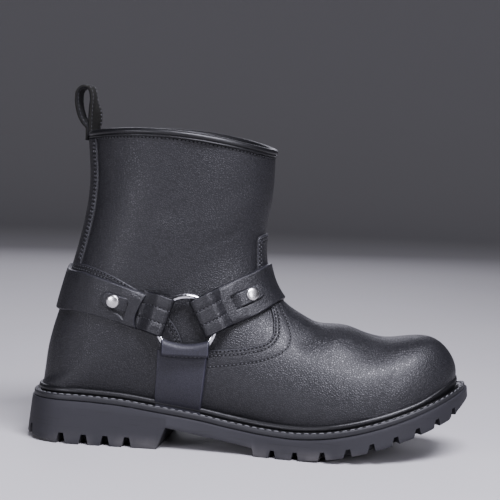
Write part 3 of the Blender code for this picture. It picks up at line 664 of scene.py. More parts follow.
    def _blend_heel(self, points: Array) -> Array:
        """Surface with its rows averaged over a bell where the foot's sections turn into the leg's.

        Args:
            points: Points of the whole surface.

        Returns:
            Points with that part smoothed.
        """
        taps = np.arange(-self.heel_reach, self.heel_reach + 1)
        weights = np.exp(-0.5 * (taps / self.heel_bell) ** 2)
        rows, columns = np.arange(self.rows), np.arange(points.shape[1])
        near = np.clip(rows[:, None] + taps[None], 0, self.rows - 1)
        mean = np.einsum("k,rkcd->rcd", weights / weights.sum(), points[near])
        rim = ease(np.minimum(columns, columns[::-1]), 0.0, self.heel_rim)
        share = np.exp(-((rows - self.heel_row) / self.heel_span) ** 4)[:, None] * rim[None]
        return points + (mean - points) * share[..., None]

    def sample(self, place: Array) -> tuple[Array, Array]:
        """Points and normals, by a cubic through 4 by 4 neighbours.

        Args:
            place: Fractional rows and columns.

        Returns:
            Points and normals.
        """
        s = np.clip(place[..., 0], 0.0, self.rows - 1.0)
        c = np.clip(place[..., 1], 0.0, 2.0 * self.half)
        i = np.minimum(s.astype(int), self.rows - 2)
        j = np.minimum(c.astype(int), 2 * self.half - 1)
        around = np.arange(4)
        taps = self._padded[(i[..., None] + around)[..., :, None], (j[..., None] + around)[..., None, :]]
        value = np.einsum("...i,...j,...ijk->...k", cubic(s - i), cubic(c - j), taps)
        return value[..., :3], unit(value[..., 3:])

    def relief(self, points: Array) -> Array:
        """Height of the creases: a bell across each crease path, faded out at its ends.

        Args:
            points: Points of the bare surface.

        Returns:
            Heights there.
        """
        made = np.zeros(points.shape[:-1])
        for path, depth, reach in self._creases:
            near = np.linalg.norm(points - path.mean(0), axis=-1) < np.ptp(path, axis=0).max() + 3.0 * reach
            if near.any():
                made[near] -= depth * bell(distance_to(points[near], path), 0.0, reach)
        return made

    def slopes(self, at: Array, step: float) -> tuple[Array, Array]:
        """Change of the point with the row and with the column, by central differences.

        Args:
            at: Rows and columns.
            step: Half of the difference.

        Returns:
            Change along the rows and along the columns.
        """
        row = (self.sample(at + (step, 0.0))[0] - self.sample(at - (step, 0.0))[0]) / (2 * step)
        col = (self.sample(at + (0.0, step))[0] - self.sample(at - (0.0, step))[0]) / (2 * step)
        return row, col

    def rim_column(self, side: Side) -> float:
        """Column of the featherline and of the back seam."""
        return 0.0 if side is Side.LATERAL else 2.0 * self.half

    def place(self, at: Array, height: Any) -> Array:
        """Points at a height over the surface, with the creases."""
        point, normal = self.sample(at)
        return point + normal * (np.broadcast_to(height, at.shape[:-1]) + self.relief(point))[..., None]

    def locate(self, x: Any, z: Any, side: Side, height: float = 0.0) -> Array:
        """Rows and columns of places in the side view.

        The nearest of a thinned grid starts a few Newton steps in the side view.

        Args:
            x: Places along the boot.
            z: Heights.
            side: Side of the boot.
            height: Height over the surface at which the places are seen.

        Returns:
            Row and column of each place.
        """
        goal = np.stack((np.asarray(x, float), np.asarray(z, float)), -1)
        flat = goal.reshape(-1, 2)
        start, stop = (0, self.half) if side is Side.LATERAL else (self.half, 2 * self.half)
        s, c = np.meshgrid(np.arange(0, self.rows, 4), np.arange(start, stop + 1, 2), indexing="ij")
        s, c = s.ravel(), c.ravel()
        thin = self.points[s, c][:, (0, 2)]
        pick = np.concatenate([
            np.argmin(np.sum((part[:, None] - thin[None]) ** 2, -1), axis=1)
            for part in np.array_split(flat, max(1, len(flat) // 500))
        ])
        at = np.c_[s[pick], c[pick]].astype(float)
        for _ in range(self.locate_rounds):
            point, normal = self.sample(at)
            row, col = (slope[:, (0, 2)] for slope in self.slopes(at, 0.25))
            miss = flat - (point + normal * height)[:, (0, 2)]
            area = row[:, 0] * col[:, 1] - row[:, 1] * col[:, 0]
            area = np.where(np.abs(area) < 1e-3, np.copysign(1e-3, area), area)
            move = np.c_[miss[:, 0] * col[:, 1] - miss[:, 1] * col[:, 0],
                         miss[:, 1] * row[:, 0] - miss[:, 0] * row[:, 1]] / area[:, None]
            at = at + np.clip(move, -self.locate_stride, self.locate_stride)
            at = np.clip(at, (0.0, start), (self.rows - 1.0, stop))
        return at.reshape(goal.shape)

    def base_at(self, x: Any, side: Side) -> Array:
        """Places on the featherline.

        Args:
            x: Places along the boot.
            side: Side of the boot.

        Returns:
            Rows and columns.
        """
        low = np.arange(int(self.heel_row), -1, -1)
        row = np.interp(x, self.points[low, 0, 0], low)
        return np.stack((row, np.full_like(row, self.rim_column(side))), -1)

    def ridge_at(self, z: float) -> Array:
        """Place on the ridge up the front of the ankle.

        Args:
            z: Height.

        Returns:
            Row and column.
        """
        rows = np.arange(self.rows // 3, self.rows)
        ridge = self.points[rows, self.half, 2]
        rising = np.arange(int(np.argmin(ridge)), len(rows))
        return np.array((np.interp(z, ridge[rising], rows[rising]), self.half))

    def seam_at(self, z: Any, side: Side) -> Array:
        """Places on the back seam.

        Args:
            z: Heights.
            side: Side of the boot.

        Returns:
            Rows and columns.
        """
        rows = np.arange(int(math.ceil(self.heel_row)), self.rows)
        row = np.interp(z, self.points[rows, 0, 2], rows)
        return np.stack((row, np.full_like(row, self.rim_column(side))), -1)

    def trace(self, points: Sequence[Sequence[float]], side: Side, count: int,
              first: Optional[Array] = None, last: Optional[Array] = None, height: float = 0.0) -> Array:
        """Smooth path over the surface through places in the side view.

        Args:
            points: Places x and z.
            side: Side of the boot.
            count: Even points along the path.
            first: Row and column to start from, before the places.
            last: Row and column to end at, after the places.
            height: Height over the surface at which the places are seen.

        Returns:
            Rows and columns, evenly along the path.
        """
        x, z = np.array(points, float).T
        run = np.r_[0.0, np.cumsum(np.hypot(np.diff(x), np.diff(z)))]
        fine = np.linspace(0.0, run[-1], max(8, int(run[-1] / 2.5)))
        at = self.locate(smooth(fine, run, x), smooth(fine, run, z), side, height)
        at = at if first is None else np.vstack((first, at))
        at = at if last is None else np.vstack((at, last))
        run = run_along(self.sample(at)[0])
        fine = np.linspace(0.0, run[-1], 6 * count)
        path = np.c_[smooth(fine, run, at[:, 0]), smooth(fine, run, at[:, 1])]
        return self.even(path, np.linspace(0.0, 1.0, count))

    def even(self, path: Array, shares: Array) -> Array:
        """Path read again at shares of its length in space.

        Args:
            path: Rows and columns.
            shares: Shares of its length, from 0 to 1.

        Returns:
            Rows and columns there.
        """
        run = run_along(self.sample(path)[0])
        at = np.asarray(shares) * run[-1]
        return np.c_[np.interp(at, run, path[:, 0]), np.interp(at, run, path[:, 1])]

    def _crease_paths(self, crease: Crease) -> list[Array]:
        """Points of a crease on each side, or one path over the ridge."""
        path = crease.value.path
        sides = [self.sample(self.trace(path, side, self.crease_points))[0] for side in Side]
        return [np.vstack((sides[0][::-1], sides[1]))] if crease.value.over else sides


def cubic(t: Array) -> Array:
    """Weights of four neighbours of a cubic through the middle two."""
    return np.stack((
        -0.5 * t + t * t - 0.5 * t ** 3, 1.0 - 2.5 * t * t + 1.5 * t ** 3,
        0.5 * t + 2.0 * t * t - 1.5 * t ** 3, -0.5 * t * t + 0.5 * t ** 3,
    ), -1)


class Socket:
    """Output of a node, with arithmetic that adds Math nodes."""

    def __init__(self, nodes: "Nodes", socket: bpy.types.NodeSocket) -> None:
        """Hold a socket and the tree it is in."""
        self.nodes, self.socket = nodes, socket

    def __add__(self, other: Value) -> "Socket":
        """Sum."""
        return self.nodes.math("ADD", self, other)

    def __radd__(self, other: Value) -> "Socket":
        """Sum from the left."""
        return self.nodes.math("ADD", other, self)

    def __sub__(self, other: Value) -> "Socket":
        """Difference."""
        return self.nodes.math("SUBTRACT", self, other)

    def __rsub__(self, other: Value) -> "Socket":
        """Difference from the left."""
        return self.nodes.math("SUBTRACT", other, self)

    def __mul__(self, other: Value) -> "Socket":
        """Product."""
        return self.nodes.math("MULTIPLY", self, other)

    def __rmul__(self, other: Value) -> "Socket":
        """Product from the left."""
        return self.nodes.math("MULTIPLY", other, self)


class Nodes:
    """Node tree of one material."""

    def __init__(self, name: str) -> None:
        """Start a material with a bare shader."""
        self.material = bpy.data.materials.new(name)
        self.material.use_nodes = True
        self.tree = self.material.node_tree
        self.shader = self.tree.nodes["Principled BSDF"]

    def add(self, kind: str, settings: Optional[dict[str, Any]] = None,
            inputs: Optional[dict[Any, Any]] = None, output: Any = 0) -> Socket:
        """Add a node.

        Args:
            kind: Type of the node.
            settings: Values of its own properties, set first.
            inputs: Values or links of its sockets, by name or number.
            output: Name or number of the output that is wanted.

        Returns:
            That output.
        """
        node = self.tree.nodes.new(kind)
        for key, value in (settings or {}).items():
            setattr(node, key, value)
        for key, value in (inputs or {}).items():
            self.feed(node.inputs[key], value)
        return Socket(self, node.outputs[output])

    def feed(self, socket: bpy.types.NodeSocket, value: Any) -> None:
        """Link a socket, or set its value."""
        if isinstance(value, Socket):
            self.tree.links.new(value.socket, socket)
        else:
            socket.default_value = value

    def math(self, operation: str, a: Value, b: Value) -> Socket:
        """Math node on two values."""
        return self.add("ShaderNodeMath", {"operation": operation}, {0: a, 1: b})

    def vector(self, operation: str, a: Any, b: Any) -> Socket:
        """Vector Math node on two vectors."""
        return self.add("ShaderNodeVectorMath", {"operation": operation}, {0: a, 1: b})

    def mix(self, factor: Value, a: Any, b: Any) -> Socket:
        """Mix of two colours."""
        return self.add("ShaderNodeMix", {"data_type": "RGBA"}, {0: factor, 6: a, 7: b}, 2)

    def span(self, value: Value, low: float, high: float) -> Socket:
        """Smooth step of a value between two limits."""
        ends = {"Value": value, "From Min": low, "From Max": high}
        return self.add("ShaderNodeMapRange", {"interpolation_type": "SMOOTHSTEP"}, ends)

    def noise(self, where: Socket, scale: float, detail: float = 3.0, output: str = "Fac") -> Socket:
        """Noise at a scale per metre."""
        ends = {"Vector": where, "Scale": scale, "Detail": detail}
        return self.add("ShaderNodeTexNoise", None, ends, output)

    def bump(self, height: Socket, strength: float, distance: float) -> None:
        """Feed the shader's normal from heights, with a distance in metres."""
        ends = {"Height": height, "Strength": strength, "Distance": distance}
        self.feed(self.shader.inputs["Normal"], self.add("ShaderNodeBump", None, ends))

    def finish(self, **inputs: Any) -> bpy.types.Material:
        """Feed the shader's sockets by name, with spaces as underscores."""
        for key, value in inputs.items():
            self.feed(self.shader.inputs[key.replace("_", " ")], value)
        return self.material


def colour(rgb: Sequence[float], gain: float = 1.0) -> tuple[float, float, float, float]:
    """Colour with alpha, brightened by a gain."""
    return (rgb[0] * gain, rgb[1] * gain, rgb[2] * gain, 1.0)


@dataclass(frozen=True)
class Leather:
    """Pebbled leather with a soft sheen."""

    name: str
    tone: Triple = (0.0065, 0.0065, 0.0085)
    pebble: float = 1.35
    depth: float = 0.44
    rough: float = 0.36
    coat: float = 0.3
    shine: float = 0.34

    def material(self) -> bpy.types.Material:
        """Pebble cells with noise, cloudy tone, wear and painted highlight on edges, painted shade in seams.
        """
        n = Nodes(self.name)
        where = n.add("ShaderNodeTexCoord", output="Object")
        stir = n.vector("MULTIPLY", n.noise(where, 420.0, 2.0, "Color"), (0.0016,) * 3)
        bent = n.vector("ADD", where, stir)
        cells = n.add("ShaderNodeTexVoronoi", {"feature": "DISTANCE_TO_EDGE"},
                      {"Vector": bent, "Scale": 1000.0 / self.pebble}, "Distance")
        pebble = n.span(cells, 0.0, 0.34)
        fine = n.noise(where, 1500.0 / self.pebble, 1.0)
        cloud = n.noise(where, 38.0, 4.0)
        patch = n.noise(where, 260.0, 3.0)
        wear_and_highlight = n.add("ShaderNodeAttribute", {"attribute_name": "edge"}, output="Fac")
        seam = n.add("ShaderNodeAttribute", {"attribute_name": "seam"}, output="Fac")
        base = n.mix(cloud, colour(self.tone, 0.72), colour(self.tone, 1.3))
        base = n.mix(pebble, colour(self.tone, 0.5), base)
        # Lighter near the cut edges: partly wear, partly a painted highlight on the edge.
        base = n.mix(wear_and_highlight * 0.5, base, colour(self.tone, 2.4))
        # Darker in the seam grooves, along the dotted row and at the cut edge: painted shade.
        base = n.mix(seam * 0.8, base, colour(self.tone, 0.25))
        rough = self.rough + 0.06 * (patch - 0.5) + 0.08 * (cloud - 0.5) + 0.16 * (1.0 - pebble)
        n.bump(1.0 * pebble + 0.3 * fine + 0.06 * patch, self.depth, 0.0004)
        return n.finish(Base_Color=base, Roughness=rough + 0.5 * seam - 0.06 * wear_and_highlight,
                        Coat_Weight=self.coat * pebble, Coat_Roughness=0.36, Specular_IOR_Level=self.shine)


@dataclass(frozen=True)
class Rubber:
    """Moulded rubber, matte, with a little dust low down."""

    name: str
    tone: Triple = (0.0075, 0.0073, 0.0100)
    rough: float = 0.66

    def material(self) -> bpy.types.Material:
        """Fine moulded grain, cloudy gloss and dust that thins out upwards."""
        n = Nodes(self.name)
        where = n.add("ShaderNodeTexCoord", output="Object")
        grain = n.noise(where, 1900.0, 3.0)
        cloud = n.noise(where, 55.0, 4.0)
        height = n.add("ShaderNodeSeparateXYZ", None, {"Vector": where}, "Z")
        dust = (1.0 - n.span(height, 0.0005, 0.011)) * n.span(cloud, 0.35, 0.7)
        streak = n.noise(n.vector("MULTIPLY", where, (26.0, 26.0, 800.0)), 1.0, 3.0)
        base = n.mix(cloud, colour(self.tone, 0.82), colour(self.tone, 1.22))
        base = n.mix(n.span(streak, 0.58, 0.72), base, colour(self.tone, 0.45))
        base = n.mix(dust * 0.22, base, (0.16, 0.15, 0.145, 1.0))
        n.bump(grain + 0.6 * n.noise(where, 620.0, 2.0), 0.16, 0.0003)
        return n.finish(Base_Color=base, Roughness=self.rough + 0.16 * (cloud - 0.5) + 0.12 * dust,
                        Specular_IOR_Level=0.36)


@dataclass(frozen=True)
class Metal:
    """Plated metal with fine rub marks."""

    name: str
    tone: Triple = (0.72, 0.72, 0.74)
    rough: float = 0.13

    def material(self) -> bpy.types.Material:
        """Mirror plating, a little cloudy, with faint pits."""
        n = Nodes(self.name)
        where = n.add("ShaderNodeTexCoord", output="Object")
        cloud = n.noise(where, 240.0, 4.0)
        rub = n.noise(n.vector("MULTIPLY", where, (1.0, 1.0, 9.0)), 700.0, 2.0)
        base = n.mix(cloud, colour(self.tone, 0.86), colour(self.tone, 1.06))
        n.bump(rub, 0.05, 0.0002)
        return n.finish(Base_Color=base, Metallic=1.0, Roughness=self.rough + 0.10 * (cloud - 0.4))


@dataclass(frozen=True)
class Thread:
    """Waxed thread with a twist."""

    name: str
    tone: Triple = (0.025, 0.025, 0.029)
    rough: float = 0.38

    def material(self) -> bpy.types.Material:
        """Tone that varies from stitch to stitch and a fine twisted bump."""
        n = Nodes(self.name)
        where = n.add("ShaderNodeTexCoord", output="Object")
        cloud = n.noise(where, 190.0, 2.0)
        ply = n.add("ShaderNodeTexWave", {"bands_direction": "DIAGONAL"},
                    {"Vector": where, "Scale": 900.0, "Distortion": 0.6}, "Fac")
        base = n.mix(cloud, colour(self.tone, 0.55), colour(self.tone, 1.35))
        n.bump(ply, 0.3, 0.0002)
        return n.finish(Base_Color=base, Roughness=self.rough + 0.2 * (ply - 0.5))


@dataclass(frozen=True)
class Cloth:
    """Woven lining or board cover."""

    name: str
    tone: Triple = (0.012, 0.0117, 0.012)
    pitch: float = 0.9

    def material(self) -> bpy.types.Material:
        """Two crossing waves for the weave, with a cloudy tone."""
        n = Nodes(self.name)
        where = n.add("ShaderNodeTexCoord", output="Object")
        scale = 1000.0 / (self.pitch * 6.3)
        ends = {"Vector": where, "Scale": scale, "Distortion": 0.4}
        warp = n.add("ShaderNodeTexWave", {"bands_direction": "X"}, ends, "Fac")
        weft = n.add("ShaderNodeTexWave", {"bands_direction": "Z"}, ends, "Fac")
        weave = 0.5 * (warp + weft)
        cloud = n.noise(where, 60.0, 4.0)
        base = n.mix(0.5 * (weave + cloud), colour(self.tone, 0.6), colour(self.tone, 1.5))
        n.bump(weave, 0.35, 0.0004)
        return n.finish(Base_Color=base, Roughness=0.86 + 0.08 * (cloud - 0.5))


class Finish(Enum):
    """Finishes of the boot."""

    LEATHER = Leather("pebbled_leather")
    STRAP = Leather("strap_leather", pebble=1.2, depth=0.45)
    ARCH = Leather("smooth_strap_leather", (0.0155, 0.0151, 0.0225), 0.9, 0.2, 0.46, 0.1)
    GLOSS = Leather("gloss_leather", (0.004, 0.004, 0.0048), 1.0, 0.12, 0.27, 0.14)
    LOOP = Leather("loop_leather", (0.0025, 0.0025, 0.0028), 0.9, 0.30, 0.66, 0.0, 0.15)
    FLESH = Leather("flesh_side", (0.0085, 0.0083, 0.0068), 0.8, 0.35, 0.8, 0.0, 0.15)
    # Near black, for the discs of painted shade at each needle hole.
    HOLE_SHADE = Leather("needle_hole_painted_shade", (0.0015, 0.0015, 0.0017), 0.9, 0.30, 0.9, 0.0)
    RUBBER = Rubber("sole_rubber")
    WELT = Rubber("welt_rubber", (0.008, 0.008, 0.0095), 0.5)
    METAL = Metal("plated_metal")
    NICKEL = Metal("satin_plated_metal", (0.62, 0.61, 0.60), 0.27)
    THREAD = Thread("black_thread")
    WELT_THREAD = Thread("grey_thread", (0.085, 0.085, 0.09), 0.6)
    LINING = Cloth("woven_lining")
    BOARD = Cloth("insole_cover", (0.045, 0.040, 0.035), 1.2)

    @cached_property
    def material(self) -> bpy.types.Material:
        """Material of the finish, made once."""
        return self.value.material()


@dataclass
class Stitches:
    """Rows of short stitches and dark discs of painted shade at each needle hole, each gathered into one
    piece.
    """

    pitch: float = 2.7
    length: float = 1.9
    radius: float = 0.36
    hole_shade: float = 0.56
    rings: int = 6
    spokes: int = 6
    hole_inner: float = 0.02
    hole_levels: Pair = (0.02, 0.14)
    hole_spokes: int = 8
    parts: MeshParts = field(default_factory=MeshParts)
    hole_shades: MeshParts = field(default_factory=MeshParts)

    @staticmethod
    def spread(axis: Array, size: Array) -> Array:
        """Axis of each stitch times a grid of sizes."""
        return axis[:, None, None, :] * size[None, ..., None]

    def row(self, path: Array, normal: Array, rise: float = 0.05, slant: float = 0.0) -> None:
        """Lay stitches along a path, with a dark disc of painted shade at the needle hole between each two.

        Args:
            path: Points along the row.
            normal: Outward directions there.
            rise: Height of a stitch's middle over the path.
            slant: Turn of each stitch about the normal, in degrees.
        """
        total = run_along(path)[-1]
        count = max(2, int(total / self.pitch))
        self.lay_threads(frames_along(path, normal, (np.arange(count) + 0.5) * total / count), rise, slant)
        self.paint_hole_shades(frames_along(path, normal, np.arange(count + 1) * total / count))

    def lay_threads(self, frames: Frames, rise: float, slant: float) -> None:
        """Threads of a row.

        Each stitch is a thread that leaves the leather, lies on it and goes back: its axis is a low arch
        along the path, and round that axis runs a circle that narrows to both ends.

        Args:
            frames: Middle of each stitch and its axes along, across and out.
            rise: Height of the arch's middle over the path.
            slant: Turn of each stitch about the normal, in degrees.
        """
        middle, along, across, out = frames
        across = unit(across)
        turn = math.radians(slant)
        along, across = (along * math.cos(turn) + across * math.sin(turn),
                         across * math.cos(turn) - along * math.sin(turn))
        shape = (self.rings, self.spokes)
        reach = np.linspace(-1.0, 1.0, self.rings)[:, None]
        ring = round_turn(self.spokes)[None]
        thick = self.radius * np.sqrt(np.maximum(1.0 - 0.96 * reach ** 4, 0.0))
        lift = rise - (self.radius + rise) * reach ** 4
        grid = middle[:, None, None] + self.spread(along, np.broadcast_to(0.5 * self.length * reach, shape))
        grid = grid + self.spread(out, lift + thick * np.sin(ring))
        grid = grid + self.spread(across, thick * np.cos(ring))
        index = np.arange(self.rings * self.spokes).reshape(shape)
        index = np.c_[index, index[:, :1]]
        quads = np.stack((index[:-1, 1:], index[1:, 1:], index[1:, :-1], index[:-1, :-1]), -1).reshape(-1, 4)
        self.parts.add(grid.reshape(-1, 3), repeat_quads(quads, len(middle), self.rings * self.spokes))

    def paint_hole_shades(self, frames: Frames) -> None:
        """Painted shade at each needle hole of a row: dark rings that lie on the leather, low in the middle.

        Args:
            frames: Middle of each hole and its axes along, across and out.
        """
        middle, along, across, out = frames
        shape = (2, self.hole_spokes)
        turn = round_turn(self.hole_spokes)
        size = np.array((self.hole_inner, self.hole_shade))[:, None]
        disc = middle[:, None, None] + self.spread(along, size * np.cos(turn))
        disc = disc + self.spread(across, size * np.sin(turn))
        disc = disc + self.spread(out, np.broadcast_to(np.array(self.hole_levels)[:, None], shape))
        index = np.arange(2 * self.hole_spokes).reshape(shape)
        index = np.c_[index, index[:, :1]]
        quads = np.stack((index[0, :-1], index[1, :-1], index[1, 1:], index[0, 1:]), -1)
        self.hole_shades.add(disc.reshape(-1, 3), repeat_quads(quads, len(middle), 2 * self.hole_spokes))


@dataclass
class Upper:
    """Leather of the foot and leg: shell, lining, vamp, counter, back strip and their stitching."""

    last: Last
    wall: float = 2.1
    panel_top: float = 1.5
    panel_foot: float = -0.35
    edge_radius: float = 0.9
    seam_rows: Pair = (1.7, 4.1)
    groove: float = 0.36
    skirt: float = 4.0
    seam_reach: float = 0.55
    wear_and_highlight_at: float = 0.6
    wear_and_highlight_reach: float = 0.45
    cut_shade_reach: float = 0.25
    thread_sunk: float = 0.12
    dotted_sunk: float = 0.14
    dotted_depth: float = 0.25
    dotted_reach: float = 0.9
    dotted_shade: float = 0.6
    inset_steps: Steps = (
        0.0, 0.0, 0.12, 0.3, 0.55, 0.9, 1.3, 1.7, 2.1, 2.6, 3.1, 3.7, 4.2, 4.7, 5.2, 6.0, 7.2, 9.0, 11.5)
    vamp_edge: tuple = (
        (121.5, 52.0), (124.0, 62.0), (130.8, 69.1), (139.9, 70.1), (150.9, 71.2), (161.8, 73.3),
        (168.3, 75.4), (171.4, 78.3), (173.1, 82.2), (172.8, 88.4), (171.0, 95.5), (167.0, 104.0),
        (162.5, 113.0), (160.2, 122.0), (159.5, 130.5), (159.2, 137.6), (159.4, 142.0), (160.4, 145.0))
    vamp_base: float = 120.5
    vamp_tip: float = 146.8
    dotted_row: tuple = (
        (174.5, 100.5), (176.7, 96.1), (180.9, 89.7), (183.9, 83.6), (184.8, 79.6), (183.7, 73.4),
        (179.2, 69.1), (173.5, 66.0), (162.6, 62.6), (151.5, 60.7), (140.5, 59.0), (131.1, 57.7))
    counter_edge: tuple = (
        (116.4, 62.0), (111.0, 78.6), (104.0, 89.4), (92.0, 101.4), (76.3, 110.6), (62.3, 117.2),
        (52.5, 120.4), (43.3, 122.4))
    counter_base: float = 117.8
    counter_tip: float = 125.8
    strip_low: float = 122.0
    strip_high: float = 208.0
    strip_reach: float = 9.0
    stitches: Stitches = field(default_factory=Stitches)

    def height(self, points: Array, edge: Array) -> tuple[Array, Array, Array]:
        """Height of a panel's face and its masks, from the distance to its cut edge.

        The face rises from under the shell over a quarter circle at the edge, and sinks in two soft grooves
        where the seam is sewn. The masks paint shade in those grooves and at the cut edge, and a highlight
        with the wear just inside the edge.

        Args:
            points: Points of the panel on the bare surface.
            edge: Points along the cut edge.

        Returns:
            Heights, mask of edge wear with a painted highlight and mask of painted shade.
        """
        away = distance_to(points, edge)
        rise = self.panel_foot + (self.panel_top - self.panel_foot) * round_over(away, self.edge_radius)
        seam = sum(bell(away, place, self.seam_reach) for place in self.seam_rows)
        wear_and_highlight = bell(away, self.wear_and_highlight_at, self.wear_and_highlight_reach)
        return rise - self.groove * seam, wear_and_highlight, seam + bell(away, 0.0, self.cut_shade_reach)

    def insets(self, length: Array, more: int) -> Array:
        """Shares from a panel's edge to its far side: fine steps at the edge, then even ones.

        Args:
            length: Length of each line from the edge to the far side.
            more: Even steps after the fine ones.

        Returns:
            Shares, one row for each line.
        """
        near = np.array(self.inset_steps)
        far = np.linspace(0.0, 1.0, more + 1)[1:]
        length = np.maximum(length, 1e-3)[:, None]
        start = np.minimum(near[None] / length, 1.0)
        return np.c_[start, start[:, -1:] + (1.0 - start[:, -1:]) * far[None]]

    def sewn(self, edge: Array, inner: Array) -> None:
        """Stitch rows beside a panel's edge.

        Args:
            edge: Rows and columns along the edge.
            inner: Guide path inside it.
        """
        a, b = self.last.sample(edge)[0], self.last.sample(inner)[0]
        gap = np.linalg.norm(b - a, axis=1)
        for place in self.seam_rows:
            at = edge + (inner - edge) * np.clip(place / np.maximum(gap, TINY), 0.0, 1.0)[:, None]
            self.stitches.row(self.last.place(at, self.panel_top - self.thread_sunk), self.last.sample(at)[1])

    def inward(self, edge: Array, towards: Array, reach: float = 6.0) -> Array:
        """Guide path beside an edge, at a right angle to it on the surface.

        Args:
            edge: Rows and columns along the edge.
            towards: A place inside the panel for each of them.
            reach: Distance in from the edge.

        Returns:
            Rows and columns of the guide.
        """
        point, normal = self.last.sample(edge)
        along = unit(np.gradient(point, axis=0))
        way = unit(np.cross(normal, along))
        inside = self.last.sample(towards)[0] - point
        way = way * np.sign(np.sum(way * inside, axis=1))[:, None]
        row, col = self.last.slopes(edge, 0.3)
        rr, rc, cc = (np.sum(a * b, axis=1) for a, b in ((row, row), (row, col), (col, col)))
        gr, gc = np.sum(row * way, axis=1), np.sum(col * way, axis=1)
        area = np.maximum(rr * cc - rc * rc, TINY)
        return edge + reach * np.c_[(gr * cc - gc * rc) / area, (gc * rr - gr * rc) / area]

    def line_length(self, edge: Array, far: Array, steps: int) -> Array:
        """Length on the surface of the lines between two paths, from a number of points on each line."""
        line = edge[:, None] + (far - edge)[:, None] * np.linspace(0.0, 1.0, steps)[None, :, None]
        return np.linalg.norm(np.diff(self.last.sample(line)[0], axis=1), axis=-1).sum(1)

    def lay(self, parts: MeshParts, edge: Array, far: Array, share: Array,
            dotted: Sequence[Array] = ()) -> tuple[Array, Array]:
        """Add a panel's face, as lines from its cut edge to its far side.

        Args:
            parts: Gathering that takes the face.
            edge: Rows and columns along the cut edge.
            far: Rows and columns of the far side.
            share: Shares along the lines, one row for each line.
            dotted: Rows and columns of single stitch rows on the panel.

        Returns:
            Points and outward directions.
        """
        point, out = self.last.sample(edge[None] + (far - edge)[None] * share.T[..., None])
        rise, wear_and_highlight, seam = self.height(point, self.last.sample(edge)[0])
        # Each dotted row sinks the face a little, with painted shade along it.
        for path in dotted:
            row = bell(distance_to(point, self.last.sample(path)[0]), 0.0, self.dotted_reach)
            rise, seam = rise - self.dotted_depth * row, seam + self.dotted_shade * row
        rise[0] = self.panel_foot
        face = point + out * (rise + self.last.relief(point))[..., None]
        parts.grid(face, out, edge=wear_and_highlight, seam=seam)
        return face, out

    def hang_skirt(self, parts: MeshParts, rim: Array, out: Array) -> None:
        """Add a strip that hangs from a rim, behind the welt."""
        parts.grid(np.stack((rim, rim - (0.0, 0.0, self.skirt))), np.stack((out, out)))

    def build_shell(self) -> None:
        """Outer leather and lining, each the whole surface at its own height, thinned to every second row."""
        rows, columns = np.arange(0, self.last.rows, 2.0), np.arange(0, 2 * self.last.half + 1, 2.0)
        s, c = np.meshgrid(rows, columns, indexing="ij")
        s[-1] = self.last.rows - 1.0
        at = np.stack((s, c), -1)
        out = self.last.sample(at)[1]
        outer, inner = self.last.place(at, 0.0), self.last.place(at, -self.wall)
        MeshParts().grid(outer, out).build("upper", [Finish.LEATHER], Slot.LEATHER, ["upper"])
        MeshParts().grid(inner, -out).build("lining", [Finish.LINING], Slot.LEATHER)

    def build_vamp(self) -> None:
        """Vamp with its tab: lines run on the surface from the cut edge to the nose."""
        last, count = self.last, 150
        halves, ends = [], []
        for side in Side:
            tip = last.ridge_at(self.vamp_tip)
            base = last.base_at(np.array([self.vamp_base]), side)[0]
            edge = last.trace(self.vamp_edge, side, count, base, tip, self.panel_top)
            share = np.linspace(0.0, 1.0, count)
            up = np.abs(edge[:, 1] - last.rim_column(side)) / last.half
            nose = 0.5 * share + 0.5 * np.maximum.accumulate(up)
            column = nose * last.half if side is Side.LATERAL else (2.0 - nose) * last.half
            order = slice(None) if side is Side.LATERAL else slice(-2, None, -1)
            halves.append(edge[order])
            ends.append(np.c_[np.zeros(count), column][order])
        edge, nose = np.vstack(halves), np.vstack(ends)
        dotted = [last.trace(self.dotted_row, side, 80, height=self.panel_top) for side in Side]
        parts, share = MeshParts(), self.insets(self.line_length(edge, nose, 40), 104)
        face, out = self.lay(parts, edge, nose, share, dotted)
        rim, side_out = (np.vstack((grid[:, 0], grid[-1], grid[::-1, -1])) for grid in (face, out))
        self.hang_skirt(parts, rim, side_out)
        parts.build("vamp", [Finish.LEATHER], Slot.LEATHER, ["vamp"])
        keep = slice(8, len(edge) - 8)
        guide = self.inward(edge, edge + 0.1 * (nose - edge))
        self.sewn(edge[keep], guide[keep])
        for path in dotted:
            self.stitches.row(last.place(path, self.panel_top - self.dotted_sunk), last.sample(path)[1])

    def build_counter(self) -> None:
        """Heel counter: from its top edge down to the featherline and round the back."""
        last, count = self.last, 130
        parts = MeshParts()
        for side in Side:
            base = last.base_at(np.array([self.counter_base]), side)[0]
            tip = last.seam_at(self.counter_tip, side)
            edge = last.trace(self.counter_edge, side, count, base, tip, self.panel_top)
            foot = np.c_[edge[:, 0], np.full(count, last.rim_column(side))]
            face, out = self.lay(parts, edge, foot, self.insets(self.line_length(edge, foot, 24), 44))
            low = edge[:, 0] <= last.heel_row + 1.0
            self.hang_skirt(parts, face[-1][low], out[-1][low])
            guide = self.inward(edge, 0.9 * edge + 0.1 * foot)
            self.sewn(edge[12:-1], guide[12:-1])
        parts.build("heel_counter", [Finish.LEATHER], Slot.LEATHER, ["heel_counter"])

